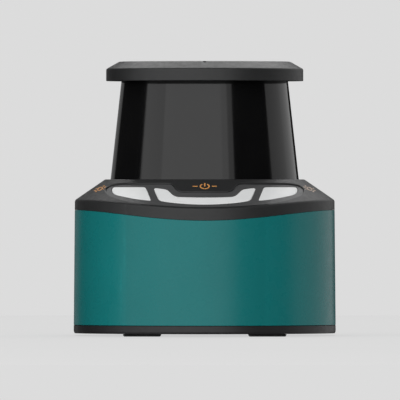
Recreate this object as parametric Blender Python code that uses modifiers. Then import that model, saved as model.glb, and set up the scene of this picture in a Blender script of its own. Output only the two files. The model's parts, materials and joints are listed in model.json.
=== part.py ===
"""Compact area laser scanner, modelled as it comes apart on a bench.

Metres, +Z up. The origin is on the scan axis, level with the undersides of the feet. The front faces -Y.
A fixed optics head hangs under the cap and looks down at a 45 degree mirror, which the motor in the housing turns.
"""

import math

import bmesh
import bpy
from mathutils import Matrix, Vector

# Gaps between neighbouring pieces
GAP = 0.0003
FIT = 0.0001

# Footprint: a blunt ellipse in front, a rounded square behind
HALF_WIDTH = 0.0404
FRONT_REACH = 0.0445
REAR_REACH = 0.0388
REAR_CORNER = 0.009
FRONT_POWER = 1.87
SIDE_DRAFT = 0.00037
RING_POINTS = 60
TURN_STEPS = 32
SMALL_STEPS = 24
WIDE_STEPS = 48

# Levels, from the floor up
FOOT_HEIGHT = 0.0007
BASE_BOTTOM = 0.0008
BASE_TOP = 0.00324
HOUSING_BOTTOM = 0.0034
COLLAR_BOTTOM = 0.0388
RIM = 0.0418
PLATEAU = 0.0482
CAP_BOTTOM = 0.0785
CAP_TOP = 0.0845
COLLAR_DIP = 0.0032
RIM_DIP = 0.0026
DIP_POWER = 1.8

# Shells
WALL = 0.0022
PLATEAU_RADIUS = 0.0307
LEDGE_LEVEL = 0.0441
LEDGE_RADIUS = 0.0252
LEDGE_THICKNESS = 0.0018

# Scan window
WINDOW_FOOT_RADIUS = 0.0290
WINDOW_HEAD_RADIUS = 0.02568
WINDOW_WALL = 0.0020
WINDOW_BOTTOM = 0.0451
WINDOW_TOP = 0.0801
WINDOW_TAPER = (WINDOW_FOOT_RADIUS - WINDOW_HEAD_RADIUS) / (CAP_BOTTOM - PLATEAU)

# Cap
CAP_RADIUS = 0.03038
CAP_CROWN_RADIUS = 0.0263
CAP_SHOULDER = 0.0822
CAP_EDGE = 0.0004
CAP_CAVITY_RADIUS = 0.0215
CAP_CAVITY_TOP = 0.0826
DIMPLE_RADIUS = 0.00055
DIMPLE_REACH = 0.0267

# Light windows, as the front view shows them
BEZEL_DEPTH = 0.0004
BEZEL_THICKNESS = 0.0016
LIGHT_DEPTH = 0.00025
CUT_DEPTH = 0.0040
CUT_RISE = 0.0030

# Rear pocket and its connectors
POCKET_HALF_WIDTH = 0.0240
POCKET_BOTTOM = 0.0062
POCKET_TOP = 0.0308
POCKET_FLOOR = 0.0330
CONNECTOR_OFFSET = 0.0120
CONNECTOR_LEVEL = 0.0175
CONNECTOR_RADIUS = 0.0059
CONNECTOR_INNER_END = 0.0296
CONNECTOR_TIP = 0.0445
NUT_RADIUS = 0.0079
NUT_THICKNESS = 0.0025
VENT_LEVEL = 0.0270

# Feet, screws and inserts
FOOT_SIZE = (0.0120, 0.0065)
FOOT_TAPER = 0.0004
FOOT_CORNER = 0.0015
BASE_CHAMFER = 0.0003
BASE_MIDDLE = 0.0020
DRILL_TOP = 0.0090
LIP_TOP = 0.0050
LIP_WIDTH = 0.0011
RECESS_TOP = 0.0023
FOOT_OFFSET = 0.0192
FRONT_FOOT = -0.0285
REAR_FOOT = 0.0310
POST_PLACE = (0.0270, 0.0185)
POST_RADIUS = 0.0032
SCREW_HOLE = 0.0017
SCREW_HEAD_RADIUS = 0.0027
SCREW_RECESS = 0.0031
INSERT_PLACE = (0.0160, 0.0140)
INSERT_RADIUS = 0.0030
INSERT_BORE = 0.0021
INSERT_TOP = 0.0072
BOSS_RADIUS = 0.0044

# Chassis, motor and bearings
DECK_BOTTOM = 0.0335
DECK_TOP = 0.0360
DECK_INSET = 0.0080
TUBE_RADIUS = 0.0066
TUBE_BOTTOM = 0.0156
BEARING_OUTER = 0.0055
BEARING_BORE = 0.0025
BEARING_HEIGHT = 0.0040
BALL_RADIUS = 0.00095
BALL_CIRCLE = 0.0040
BALL_COUNT = 7
RACE_RADIUS = 0.0011
UPPER_BEARING = 0.0338
LOWER_BEARING = 0.0178
SHAFT_RADIUS = 0.0024
SHAFT_BOTTOM = 0.0112
SHAFT_TOP = 0.0425
TOOTH_COUNT = 9
CORE_BOTTOM = 0.0195
CORE_TOP = 0.0275
CORE_TIP_RADIUS = 0.0128
BELL_RADIUS = 0.0162
BELL_BOTTOM = 0.0120
BELL_TOP = 0.0300
BELL_WALL = 0.0012
BELL_FLOOR = 0.0014
HUB_WALL = 0.0016
HUB_RISE = 0.0014
AIR_GAP = 0.0005
MAGNET_LEVELS = (0.0180, 0.0290)
WINDING_RADIUS = 0.0100
WINDING_LOBE = 0.0010
WINDING_BORE = 0.0072
WINDING_RISE = 0.0018
SHAFT_CHAMFER = 0.0004

# Turning optics
ENCODER_RADIUS = 0.0175
ENCODER_LEVEL = 0.0380
CARRIER_RADIUS = 0.0125
CARRIER_BOTTOM = 0.0392
MIRROR_LEVEL = 0.0570
MIRROR_RADIUS = 0.0121
MIRROR_THICKNESS = 0.0014

# Fixed optics head
COLUMN_INNER = 0.0198
COLUMN_OUTER = 0.0220
COLUMN_HALF_WIDTH = 0.0070
FLANGE_LEVEL = 0.0791
FLANGE_RADIUS = 0.0212
LENS_TUBE_RADIUS = 0.0128
LENS_TUBE_BORE = 0.0114
LENS_TUBE_BOTTOM = 0.0730
BARREL_RADIUS = 0.0030
BARREL_BORE = 0.0022
HEAD_BOARD_LEVEL = 0.0808

# Circuit boards
BOARD_THICKNESS = 0.0012
MAIN_BOARD_LEVEL = 0.0082
INDICATOR_BOARD_LEVEL = 0.0366

FINISHES = {
    "dark_plastic": ((0.062, 0.064, 0.064), 0.55, 0.0),
    "teal_paint": ((0.012, 0.135, 0.130), 0.42, 0.0),
    "window_plastic": ((0.006, 0.006, 0.006), 0.08, 0.0),
    "white_diffuser": ((0.640, 0.650, 0.650), 0.50, 0.0),
    "black_plastic": ((0.015, 0.015, 0.016), 0.60, 0.0),
    "rubber": ((0.012, 0.012, 0.012), 0.85, 0.0),
    "steel": ((0.560, 0.560, 0.570), 0.30, 1.0),
    "aluminium": ((0.600, 0.610, 0.620), 0.38, 1.0),
    "nickel_brass": ((0.620, 0.590, 0.520), 0.28, 1.0),
    "brass": ((0.680, 0.480, 0.200), 0.32, 1.0),
    "magnet": ((0.080, 0.080, 0.085), 0.45, 0.6),
    "copper": ((0.700, 0.280, 0.140), 0.35, 1.0),
    "glass": ((0.800, 0.850, 0.860), 0.05, 0.0),
    "mirror": ((0.900, 0.900, 0.900), 0.03, 1.0),
    "circuit_board": ((0.020, 0.120, 0.050), 0.45, 0.0),
}


def clear_scene():
    """Remove whatever the file opened with."""
    for old in list(bpy.data.objects):
        bpy.data.objects.remove(old, do_unlink=True)


def new_collection(name):
    """A collection linked to the scene."""
    made = bpy.data.collections.new(name)
    bpy.context.scene.collection.children.link(made)
    return made


def move_to(obj, collection):
    """Link an object to one collection only."""
    for old in list(obj.users_collection):
        old.objects.unlink(obj)
    collection.objects.link(obj)


def finish_material(name, finish):
    """The object's own Principled material."""
    color, roughness, metallic = FINISHES[finish]
    material = bpy.data.materials.new(name + "_" + finish)
    material.use_nodes = True
    shader = material.node_tree.nodes["Principled BSDF"]
    shader.inputs["Base Color"].default_value = (*color, 1.0)
    shader.inputs["Roughness"].default_value = roughness
    shader.inputs["Metallic"].default_value = metallic
    return material


def add_object(name, mesh, finish=None):
    """Put a mesh in the scene, as a finished part or, with no finish, as a cutter."""
    mesh.shade_smooth()
    mesh.set_sharp_from_angle(angle=math.radians(35.0))
    obj = bpy.data.objects.new(name, mesh)
    if finish:
        parts.objects.link(obj)
        mesh.materials.append(finish_material(name, finish))
    else:
        hide_cutter(obj)
    return obj


def hide_cutter(obj):
    """Keep a cutter or a joined shape out of the model."""
    move_to(obj, cutters)
    obj.hide_render = True
    obj.display_type = "WIRE"


def mesh_from(name, bm):
    """Close a bmesh with its faces pointing out."""
    bmesh.ops.remove_doubles(bm, verts=bm.verts, dist=1e-7)
    bmesh.ops.recalc_face_normals(bm, faces=bm.faces)
    mesh = bpy.data.meshes.new(name)
    bm.to_mesh(mesh)
    bm.free()
    return mesh


def baked(obj):
    """The object's evaluated mesh, with the object removed."""
    depsgraph = bpy.context.evaluated_depsgraph_get()
    mesh = bpy.data.meshes.new_from_object(obj.evaluated_get(depsgraph))
    mesh.transform(obj.matrix_world)
    bpy.data.objects.remove(obj, do_unlink=True)
    return mesh


def box(name, low, high, finish=None):
    """A block between two corners."""
    bm = bmesh.new()
    bmesh.ops.create_cube(bm, size=1.0)
    size = Vector(high) - Vector(low)
    middle = (Vector(high) + Vector(low)) / 2
    bmesh.ops.scale(bm, vec=size, verts=bm.verts)
    bmesh.ops.translate(bm, vec=middle, verts=bm.verts)
    return add_object(name, mesh_from(name, bm), finish)


def cylinder(name, radius, start, end, finish=None, sides=SMALL_STEPS):
    """A round bar or a regular prism between two points."""
    start, end = Vector(start), Vector(end)
    bm = bmesh.new()
    length = (end - start).length
    bmesh.ops.create_cone(bm, cap_ends=True, segments=sides, radius1=radius, radius2=radius, depth=length)
    turn = Vector((0, 0, 1)).rotation_difference(end - start).to_matrix().to_4x4()
    bmesh.ops.transform(bm, matrix=Matrix.Translation((start + end) / 2) @ turn, verts=bm.verts)
    return add_object(name, mesh_from(name, bm), finish)


def turned(name, profile, finish=None, steps=TURN_STEPS, place=Matrix.Identity(4)):
    """A (radius, height) profile, listed down its outer side, turned about Z and then placed."""
    mesh = bpy.data.meshes.new(name + "_profile")
    edges = [(i, i + 1) for i in range(len(profile) - 1)]
    if profile[0][0] > 0:
        edges.append((len(profile) - 1, 0))
    mesh.from_pydata([(radius, 0, height) for radius, height in profile], edges, [])
    obj = bpy.data.objects.new(name + "_profile", mesh)
    parts.objects.link(obj)
    screw = obj.modifiers.new("turn", "SCREW")
    screw.steps = steps
    screw.render_steps = steps
    screw.use_merge_vertices = True
    screw.merge_threshold = 0.00001
    bpy.context.view_layer.update()
    solid = baked(obj)
    solid.transform(place)
    return add_object(name, solid, finish)


def prism(name, outlines, low, high, finish=None, along="Z"):
    """Flat outlines, the first one outside and any others holes in it, drawn out along Z or Y.

    Along Z an outline is (x, y). Along Y it is (x, z), as the front view shows it.
    """
    curve = bpy.data.curves.new(name + "_outline", "CURVE")
    curve.dimensions = "2D"
    curve.fill_mode = "BOTH"
    curve.extrude = (high - low) / 2
    for outline in outlines:
        spline = curve.splines.new("POLY")
        spline.points.add(len(outline) - 1)
        spline.use_cyclic_u = True
        for point, (u, v) in zip(spline.points, outline):
            point.co = (u, v, 0, 1)
    obj = bpy.data.objects.new(name + "_outline", curve)
    parts.objects.link(obj)
    if along == "Z":
        obj.location = (0, 0, (low + high) / 2)
    else:
        obj.location = (0, (low + high) / 2, 0)
        obj.rotation_euler = (math.pi / 2, 0, 0)
    bpy.context.view_layer.update()
    bm = bmesh.new()
    bm.from_mesh(baked(obj))
    return add_object(name, mesh_from(name, bm), finish)


def loft(name, rings, finish=None, capped=False):
    """Quads between rings with the same number of points.

    The last ring joins the first one, or with capped both ends are closed by a flat face.
    """
    bm = bmesh.new()
    made = [[bm.verts.new(point) for point in ring] for ring in rings]
    pairs = list(zip(made, made[1:]))
    if capped:
        bm.faces.new(made[0])
        bm.faces.new(made[-1])
    else:
        pairs.append((made[-1], made[0]))
    for lower, upper in pairs:
        for i in range(len(lower)):
            j = (i + 1) % len(lower)
            bm.faces.new((lower[i], lower[j], upper[j], upper[i]))
    return add_object(name, mesh_from(name, bm), finish)


def combine(target, tool, operation):
    """A live exact Boolean; the tool moves to the cutters."""
    modifier = target.modifiers.new(operation.lower(), "BOOLEAN")
    modifier.operation = operation
    modifier.solver = "EXACT"
    modifier.object = tool
    hide_cutter(tool)


def cut(target, *tools):
    for tool in tools:
        combine(target, tool, "DIFFERENCE")


def join(target, *tools):
    for tool in tools:
        combine(target, tool, "UNION")


def keep_inside(target, tool):
    combine(target, tool, "INTERSECT")


# Footprint rings ---------------------------------------------------------------------------------------------


def outline_radius(angle, half_width, front, rear, corner):
    """Distance from the axis to the footprint's outline at an angle about Z."""
    along_x, along_y = abs(math.cos(angle)), abs(math.sin(angle))
    if math.sin(angle) < 0:
        total = (along_x / half_width) ** FRONT_POWER + (along_y / front) ** FRONT_POWER
        return total ** (-1 / FRONT_POWER)
    if along_x * (rear - corner) >= along_y * half_width:
        return half_width / along_x
    if along_y * (half_width - corner) >= along_x * rear:
        return rear / along_y
    center_x, center_y = half_width - corner, rear - corner
    forward = along_x * center_x + along_y * center_y
    return forward + math.sqrt(forward**2 - center_x**2 - center_y**2 + corner**2)


def ring_angles(phase=0.0):
    """Angles about Z, mirror images of each other about the YZ plane; phase is a share of one step."""
    return [2 * math.pi * (i + phase) / RING_POINTS for i in range(RING_POINTS)]


def front_dip(depth, x, y, half_width):
    """How far an edge of the collar dips below its side level."""
    if y >= 0:
        return 0.0
    share = min(1.0, abs(x) / half_width)
    return depth * (1 - share**2) ** DIP_POWER


def shell_ring(inset, level, dip=0.0, phase=0.0):
    """A ring that follows the footprint, inset from it, and dips in front."""
    lean = SIDE_DRAFT * level / RIM
    sizes = [reach - inset - lean for reach in (HALF_WIDTH, FRONT_REACH, REAR_REACH, REAR_CORNER)]
    ring = []
    for angle in ring_angles(phase):
        radius = outline_radius(angle, *sizes)
        x, y = radius * math.cos(angle), radius * math.sin(angle)
        ring.append(Vector((x, y, level - front_dip(dip, x, y, sizes[0]))))
    return ring


def round_ring(radius, level, phase=0.0):
    """A ring about the scan axis, at the same angles as the footprint's rings."""
    return [Vector((radius * math.cos(a), radius * math.sin(a), level)) for a in ring_angles(phase)]


def slope_rings(height, phase=0.0, extra=0.0):
    """The foot and head of the collar's slope, moved out along its normal and, by extra, past both ends."""
    foot = shell_ring(CAP_EDGE, RIM, RIM_DIP, phase)
    head = round_ring(PLATEAU_RADIUS, PLATEAU, phase)
    moved_foot, moved_head = [], []
    for i, (low, high) in enumerate(zip(foot, head)):
        along = foot[(i + 1) % RING_POINTS] - foot[i - 1]
        normal = along.cross(high - low).normalized()
        uphill = (high - low).normalized()
        moved_foot.append(low + normal * height - uphill * extra)
        moved_head.append(high + normal * height + uphill * extra)
    return moved_foot, moved_head


def slope_layer(name, low, high, finish=None, phase=0.0, extra=0.0):
    """A band of even thickness along the collar's slope."""
    low_foot, low_head = slope_rings(low, phase, extra)
    high_foot, high_head = slope_rings(high, phase, extra)
    return loft(name, [low_foot, high_foot, high_head, low_head], finish)


# Outlines of the light windows, seen from the front -----------------------------------------------------------


def mirrored(half):
    """A left half outline, listed from its top round to its bottom near the centre, and its mirror image."""
    return half + [(-x, z) for x, z in reversed(half)]


def bezel_outline(inset=0.0):
    """The crescent opening that holds the three light windows, dipping under the centre pad."""
    half = [
        (-0.0040, 0.0446),
        (-0.0078, 0.0446),
        (-0.0090, 0.0450),
        (-0.0105, 0.0463),
        (-0.0120, 0.0468),
        (-0.0250, 0.0468),
        (-0.0285, 0.0465),
        (-0.0303, 0.0457),
        (-0.0308, 0.0447),
        (-0.0300, 0.0436),
        (-0.0270, 0.0423),
        (-0.0200, 0.0408),
        (-0.0100, 0.0398),
        (-0.0030, 0.0396),
    ]
    return shrunk(mirrored(half), inset)


def center_light_outline(inset=0.0):
    """The U-shaped middle light window."""
    half = [
        (-0.0030, 0.0427),
        (-0.0072, 0.0428),
        (-0.0088, 0.0432),
        (-0.0100, 0.0444),
        (-0.0110, 0.0451),
        (-0.0122, 0.0454),
        (-0.0152, 0.0456),
        (-0.0157, 0.0451),
        (-0.0142, 0.0419),
        (-0.0134, 0.0414),
        (-0.0070, 0.0406),
        (-0.0025, 0.0403),
    ]
    return shrunk(mirrored(half), inset)


def side_light_outline(side, inset=0.0):
    """A pointed side light window; side is -1 on the left and +1 on the right."""
    left = [
        (-0.0188, 0.04595),
        (-0.0274, 0.04595),
        (-0.0282, 0.0456),
        (-0.0284, 0.0450),
        (-0.0282, 0.0442),
        (-0.0273, 0.0434),
        (-0.0250, 0.0428),
        (-0.0171, 0.0415),
        (-0.0165, 0.0419),
        (-0.0181, 0.0456),
    ]
    return shrunk([(-side * x, z) for x, z in left], inset)


def shrunk(outline, inset):
    """An outline with every edge moved inwards by the same distance."""
    area = sum(a[0] * b[1] - b[0] * a[1] for a, b in zip(outline, outline[1:] + outline[:1]))
    turn = 1 if area > 0 else -1
    result = []
    for i, here in enumerate(outline):
        here = Vector(here)
        before = (here - Vector(outline[i - 1])).normalized()
        after = (Vector(outline[(i + 1) % len(outline)]) - here).normalized()
        normal_before = Vector((-before.y, before.x)) * turn
        normal_after = Vector((-after.y, after.x)) * turn
        middle = (normal_before + normal_after).normalized()
        result.append(tuple(here + middle * inset / max(0.5, middle.dot(normal_after))))
    return result


def front_prism(name, outline):
    """A cutter that reaches the front slope only."""
    return prism(name, [outline], -0.060, -0.010, along="Y")


# Outer shells -------------------------------------------------------------------------------------------------


def build_cap():
    """Round lid with a shallow conical edge, a groove for the window and a cavity for the head's board."""
    groove_outer = WINDOW_HEAD_RADIUS + GAP
    groove_inner = WINDOW_HEAD_RADIUS - WINDOW_WALL - 2 * GAP
    groove_top = WINDOW_TOP + GAP
    profile = [
        (0, CAP_TOP),
        (CAP_CROWN_RADIUS, CAP_TOP),
        (CAP_RADIUS - CAP_EDGE, CAP_SHOULDER + CAP_EDGE / 2),
        (CAP_RADIUS, CAP_SHOULDER - CAP_EDGE / 2),
        (CAP_RADIUS, CAP_BOTTOM + CAP_EDGE / 2),
        (CAP_RADIUS - CAP_EDGE / 2, CAP_BOTTOM),
        (groove_outer, CAP_BOTTOM),
        (groove_outer, groove_top + 0.0006),
        (groove_inner, groove_top + 0.0006),
        (groove_inner, FLANGE_LEVEL),
        (CAP_CAVITY_RADIUS, FLANGE_LEVEL),
        (CAP_CAVITY_RADIUS, CAP_CAVITY_TOP),
        (0, CAP_CAVITY_TOP),
    ]
    cap = turned("top_cap", profile, "dark_plastic", steps=WIDE_STEPS)
    reach = Vector((0, -DIMPLE_REACH, CAP_TOP))
    dimple = cylinder("dimple_cutter", DIMPLE_RADIUS, reach, reach - Vector((0, 0, 0.0012)), sides=16)
    cut(cap, dimple)


def window_radius(level):
    """Outer radius of the tapered window at a level."""
    return WINDOW_FOOT_RADIUS - (level - PLATEAU) * WINDOW_TAPER


def build_window():
    """Tapered ring of dark infrared-passing plastic."""
    low, high = window_radius(WINDOW_BOTTOM), window_radius(WINDOW_TOP)
    profile = [
        (high, WINDOW_TOP),
        (low, WINDOW_BOTTOM),
        (low - WINDOW_WALL, WINDOW_BOTTOM),
        (high - WINDOW_WALL, WINDOW_TOP),
    ]
    turned("scan_window", profile, "window_plastic", steps=WIDE_STEPS)


def ring_profile(inner, outer, bottom, top):
    """A rectangular ring section, down its outer side first."""
    return [(outer, top), (outer, bottom), (inner, bottom), (inner, top)]


def build_window_seals():
    """Flat rings under the window's foot and over its head."""
    foot = window_radius(WINDOW_BOTTOM)
    lower = ring_profile(foot - WINDOW_WALL, foot - GAP, LEDGE_LEVEL + FIT, WINDOW_BOTTOM - FIT)
    turned("lower_window_seal", lower, "rubber")
    head = window_radius(WINDOW_TOP)
    upper = ring_profile(head - WINDOW_WALL + FIT, head - FIT, WINDOW_TOP + FIT, WINDOW_TOP + 0.0007)
    turned("upper_window_seal", upper, "rubber")


def build_collar():
    """Upper housing: a skirt, a slope up to the round plateau, and a ledge that the window stands on."""
    pocket_radius = window_radius(LEDGE_LEVEL) + GAP
    slope_foot, _ = slope_rings(0.0)
    rings = [
        shell_ring(0.0, COLLAR_BOTTOM, COLLAR_DIP),
        shell_ring(0.0, RIM - CAP_EDGE, RIM_DIP),
        slope_foot,
        round_ring(PLATEAU_RADIUS, PLATEAU),
        round_ring(pocket_radius, PLATEAU),
        round_ring(pocket_radius, LEDGE_LEVEL),
        round_ring(LEDGE_RADIUS, LEDGE_LEVEL),
        round_ring(LEDGE_RADIUS, LEDGE_LEVEL - LEDGE_THICKNESS),
        round_ring(pocket_radius + 0.0020, LEDGE_LEVEL - LEDGE_THICKNESS),
        round_ring(pocket_radius + 0.0034, LEDGE_LEVEL),
        shell_ring(WALL + CAP_EDGE, RIM - WALL / 2, RIM_DIP),
        shell_ring(WALL, COLLAR_BOTTOM, COLLAR_DIP),
    ]
    collar = loft("collar", rings, "dark_plastic")
    opening = slope_layer("bezel_opening_cutter", -CUT_DEPTH, CUT_RISE, phase=0.5, extra=0.0015)
    keep_inside(opening, front_prism("bezel_opening_outline", bezel_outline()))
    cut(collar, opening)


def build_bezel():
    """Crescent insert with three holes for the light windows."""
    bezel = slope_layer("indicator_bezel", -BEZEL_DEPTH - BEZEL_THICKNESS, -BEZEL_DEPTH, "black_plastic")
    keep_inside(bezel, front_prism("bezel_outline", bezel_outline(FIT)))
    for name, outline in light_outlines(0.0):
        cut(bezel, front_prism(name + "_hole", outline))


def light_outlines(inset):
    """Name and outline of each light window."""
    return [
        ("light_window_left", side_light_outline(-1, inset)),
        ("light_window_center", center_light_outline(inset)),
        ("light_window_right", side_light_outline(1, inset)),
    ]


def build_light_windows():
    """White diffusers that fill the bezel's holes."""
    for name, outline in light_outlines(FIT):
        light = slope_layer(name, -BEZEL_DEPTH - BEZEL_THICKNESS, -LIGHT_DEPTH, "white_diffuser")
        keep_inside(light, front_prism(name + "_outline", outline))


def build_housing():
    """Sleeve between base plate and collar, with a rebate at each end for a gasket and a pocket behind."""
    outer_top = COLLAR_BOTTOM - FIT * 1.5
    rebate = WALL / 2
    rings = [
        shell_ring(0.0, HOUSING_BOTTOM),
        shell_ring(0.0, outer_top, COLLAR_DIP),
        shell_ring(rebate, outer_top, COLLAR_DIP),
        shell_ring(rebate, COLLAR_BOTTOM - 0.0012, COLLAR_DIP),
        shell_ring(WALL, COLLAR_BOTTOM - 0.0012, COLLAR_DIP),
        shell_ring(WALL, HOUSING_BOTTOM + 0.0009),
        shell_ring(rebate, HOUSING_BOTTOM + 0.0009),
        shell_ring(rebate, HOUSING_BOTTOM),
    ]
    housing = loft("housing", rings, "teal_paint")
    margin = WALL
    block_low = (-POCKET_HALF_WIDTH - margin, POCKET_FLOOR - WALL, POCKET_BOTTOM - 0.0008)
    block_high = (POCKET_HALF_WIDTH + margin, REAR_REACH - 0.0010, POCKET_TOP + margin)
    join(housing, box("pocket_walls", block_low, block_high))
    hollow_low = (-POCKET_HALF_WIDTH, POCKET_FLOOR, POCKET_BOTTOM)
    hollow_high = (POCKET_HALF_WIDTH, 0.050, POCKET_TOP)
    cut(housing, box("pocket_cutter", hollow_low, hollow_high))
    for side in (-1, 1):
        place = Vector((side * CONNECTOR_OFFSET, 0, CONNECTOR_LEVEL))
        cut(housing, rear_bar("connector_hole", CONNECTOR_RADIUS + GAP, place, 0.029, 0.036))
    cut(housing, rear_bar("vent_hole", 0.0030 + FIT, Vector((0, 0, VENT_LEVEL)), 0.029, 0.036))


def rear_bar(name, radius, place, start, end, finish=None, sides=SMALL_STEPS):
    """A round or prismatic bar along Y through a place in the rear wall."""
    back, tip = Vector(place), Vector(place)
    back.y, tip.y = start, end
    return cylinder(name, radius, back, tip, finish, sides)


def gasket(name, bottom, top, dip):
    """A thin rubber ring that follows the housing's wall."""
    inner, outer = WALL - 2 * FIT, WALL / 2 + FIT
    rings = [
        shell_ring(outer, bottom, dip),
        shell_ring(outer, top, dip),
        shell_ring(inner, top, dip),
        shell_ring(inner, bottom, dip),
    ]
    loft(name, rings, "rubber")


def build_gaskets():
    gasket("base_gasket", BASE_TOP + FIT, HOUSING_BOTTOM + 0.0008, 0.0)
    gasket("collar_gasket", COLLAR_BOTTOM - 0.0011, COLLAR_BOTTOM - FIT, COLLAR_DIP)


def four_corners(place):
    """The four places at plus and minus a place's x and y, with their numbers."""
    x, y = place
    return list(enumerate([(-x, -y), (x, -y), (x, y), (-x, y)], start=1))


def build_base_plate():
    """Bottom plate with a chamfered edge, a locating lip, bosses for the inserts and recesses for the screws."""
    lip_outer = WALL + GAP
    lip_inner = lip_outer + LIP_WIDTH
    rings = [
        shell_ring(BASE_CHAMFER, BASE_BOTTOM),
        shell_ring(0.0, BASE_BOTTOM + 2 * BASE_CHAMFER),
        shell_ring(0.0, BASE_TOP),
        shell_ring(lip_outer, BASE_TOP),
        shell_ring(lip_outer, LIP_TOP),
        shell_ring(lip_inner, LIP_TOP),
        shell_ring(lip_inner, BASE_TOP),
    ]
    plate = loft("base_plate", rings, "black_plastic", capped=True)
    for number, (x, y) in four_corners(INSERT_PLACE):
        boss = cylinder("boss_%d" % number, BOSS_RADIUS, (x, y, BASE_MIDDLE), (x, y, INSERT_TOP), sides=24)
        join(plate, boss)
        hole = cylinder("boss_hole_%d" % number, INSERT_RADIUS + FIT, (x, y, 0), (x, y, DRILL_TOP), sides=24)
        cut(plate, hole)
    for number, (x, y) in four_corners(POST_PLACE):
        recess = cylinder("recess_%d" % number, SCREW_RECESS, (x, y, 0), (x, y, RECESS_TOP), sides=24)
        hole = cylinder("screw_hole_%d" % number, SCREW_HOLE, (x, y, 0), (x, y, DRILL_TOP), sides=16)
        cut(plate, recess, hole)


def build_feet():
    """Four low rubber pads, a little narrower where they stand."""
    places = {
        "foot_front_left": (-FOOT_OFFSET, FRONT_FOOT),
        "foot_front_right": (FOOT_OFFSET, FRONT_FOOT),
        "foot_rear_left": (-FOOT_OFFSET, REAR_FOOT),
        "foot_rear_right": (FOOT_OFFSET, REAR_FOOT),
    }
    for name, center in places.items():
        bottom = pad_ring(center, FOOT_TAPER, 0.0)
        top = pad_ring(center, 0.0, FOOT_HEIGHT)
        loft(name, [bottom, top], "rubber", capped=True)


def pad_ring(center, inset, level):
    """A rounded rectangle about a foot's centre."""
    corner = FOOT_CORNER
    half_x, half_y = FOOT_SIZE[0] / 2 - inset - corner, FOOT_SIZE[1] / 2 - inset - corner
    ring = []
    for i, (side_x, side_y) in enumerate([(1, 1), (-1, 1), (-1, -1), (1, -1)]):
        for step in range(4):
            angle = math.pi / 2 * (i + step / 3)
            x = center[0] + side_x * half_x + corner * math.cos(angle)
            y = center[1] + side_y * half_y + corner * math.sin(angle)
            ring.append(Vector((x, y, level)))
    return ring


def build_base_screws():
    """Socket screws that hold the base plate to the chassis posts."""
    head_bottom, head_top, tip = BASE_BOTTOM + 0.0001, 0.0022, 0.0110
    for number, (x, y) in four_corners(POST_PLACE):
        name = "base_screw_%d" % number
        profile = [
            (0, tip),
            (SCREW_HOLE - 2 * FIT, tip),
            (SCREW_HOLE - 2 * FIT, head_top),
            (SCREW_HEAD_RADIUS, head_top),
            (SCREW_HEAD_RADIUS, head_bottom),
            (0, head_bottom),
        ]
        screw = turned(name, profile, "steel", steps=16, place=Matrix.Translation((x, y, 0)))
        cut(screw, cylinder(name + "_socket", 0.0013, (x, y, 0), (x, y, 0.0018), sides=6))


def build_mount_inserts():
    """Threaded bushes, open below, for the bracket's screws."""
    for number, (x, y) in four_corners(INSERT_PLACE):
        profile = ring_profile(INSERT_BORE, INSERT_RADIUS, BASE_BOTTOM + FIT, INSERT_TOP - FIT)
        turned("mount_insert_%d" % number, profile, "brass", steps=24, place=Matrix.Translation((x, y, 0)))


# Rear connectors ----------------------------------------------------------------------------------------------


def build_connector(name, side, contacts):
    """A round M12 panel connector along +Y: threaded shell, insert with contacts, and nut."""
    place = Vector((side * CONNECTOR_OFFSET, 0, CONNECTOR_LEVEL))
    facing = Matrix.Translation(place) @ Matrix.Rotation(-math.pi / 2, 4, "X")
    bore = CONNECTOR_RADIUS - 0.0009
    shell = ring_profile(bore, CONNECTOR_RADIUS, CONNECTOR_INNER_END, CONNECTOR_TIP)
    turned(name + "_shell", shell, "nickel_brass", SMALL_STEPS, facing)
    insert_tip = CONNECTOR_TIP - 0.0065
    insert = rear_bar(name + "_insert", bore - FIT, place, CONNECTOR_INNER_END, insert_tip, "black_plastic")
    for i in range(contacts):
        angle = 2 * math.pi * (i + 0.5) / contacts
        pin = place + Vector((0.0028 * math.cos(angle), 0, 0.0028 * math.sin(angle)))
        join(insert, rear_bar(name + "_pin", 0.0005, pin, insert_tip - 0.001, CONNECTOR_TIP - 0.001, sides=8))
    nut_start = POCKET_FLOOR + FIT
    nut = rear_bar(name + "_nut", NUT_RADIUS, place, nut_start, nut_start + NUT_THICKNESS, "nickel_brass", 6)
    cut(nut, rear_bar(name + "_nut_bore", CONNECTOR_RADIUS + FIT, place, 0.030, 0.040))


def build_vent_plug():
    """Pressure vent in the rear wall: a stem through the wall and a broad head."""
    facing = Matrix.Translation((0, 0, VENT_LEVEL)) @ Matrix.Rotation(-math.pi / 2, 4, "X")
    head_bottom = POCKET_FLOOR + FIT
    profile = [
        (0, head_bottom + 0.0018),
        (0.0034, head_bottom + 0.0018),
        (0.0038, head_bottom + 0.0013),
        (0.0038, head_bottom),
        (0.0029, head_bottom),
        (0.0029, 0.0302),
        (0, 0.0302),
    ]
    turned("vent_plug", profile, "black_plastic", 24, facing)


# Chassis and motor --------------------------------------------------------------------------------------------


def build_chassis():
    """Aluminium deck on four posts, with the motor's bearing tube hanging from it."""
    deck = [shell_ring(DECK_INSET, DECK_BOTTOM), shell_ring(DECK_INSET, DECK_TOP)]
    chassis = loft("chassis", deck, "aluminium", capped=True)
    join(chassis, cylinder("bearing_tube", TUBE_RADIUS, (0, 0, TUBE_BOTTOM), (0, 0, DECK_TOP - 0.0005)))
    for number, (x, y) in four_corners(POST_PLACE):
        post_bottom, post_top = BASE_TOP + GAP, DECK_TOP - 0.0005
        join(chassis, cylinder("post_%d" % number, POST_RADIUS, (x, y, post_bottom), (x, y, post_top), sides=16))
        thread = cylinder("post_thread_%d" % number, SCREW_HOLE, (x, y, 0), (x, y, 0.0130), sides=16)
        cut(chassis, thread)
    cut(chassis, cylinder("bearing_bore", BEARING_OUTER + FIT, (0, 0, 0.010), (0, 0, 0.040)))


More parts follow.
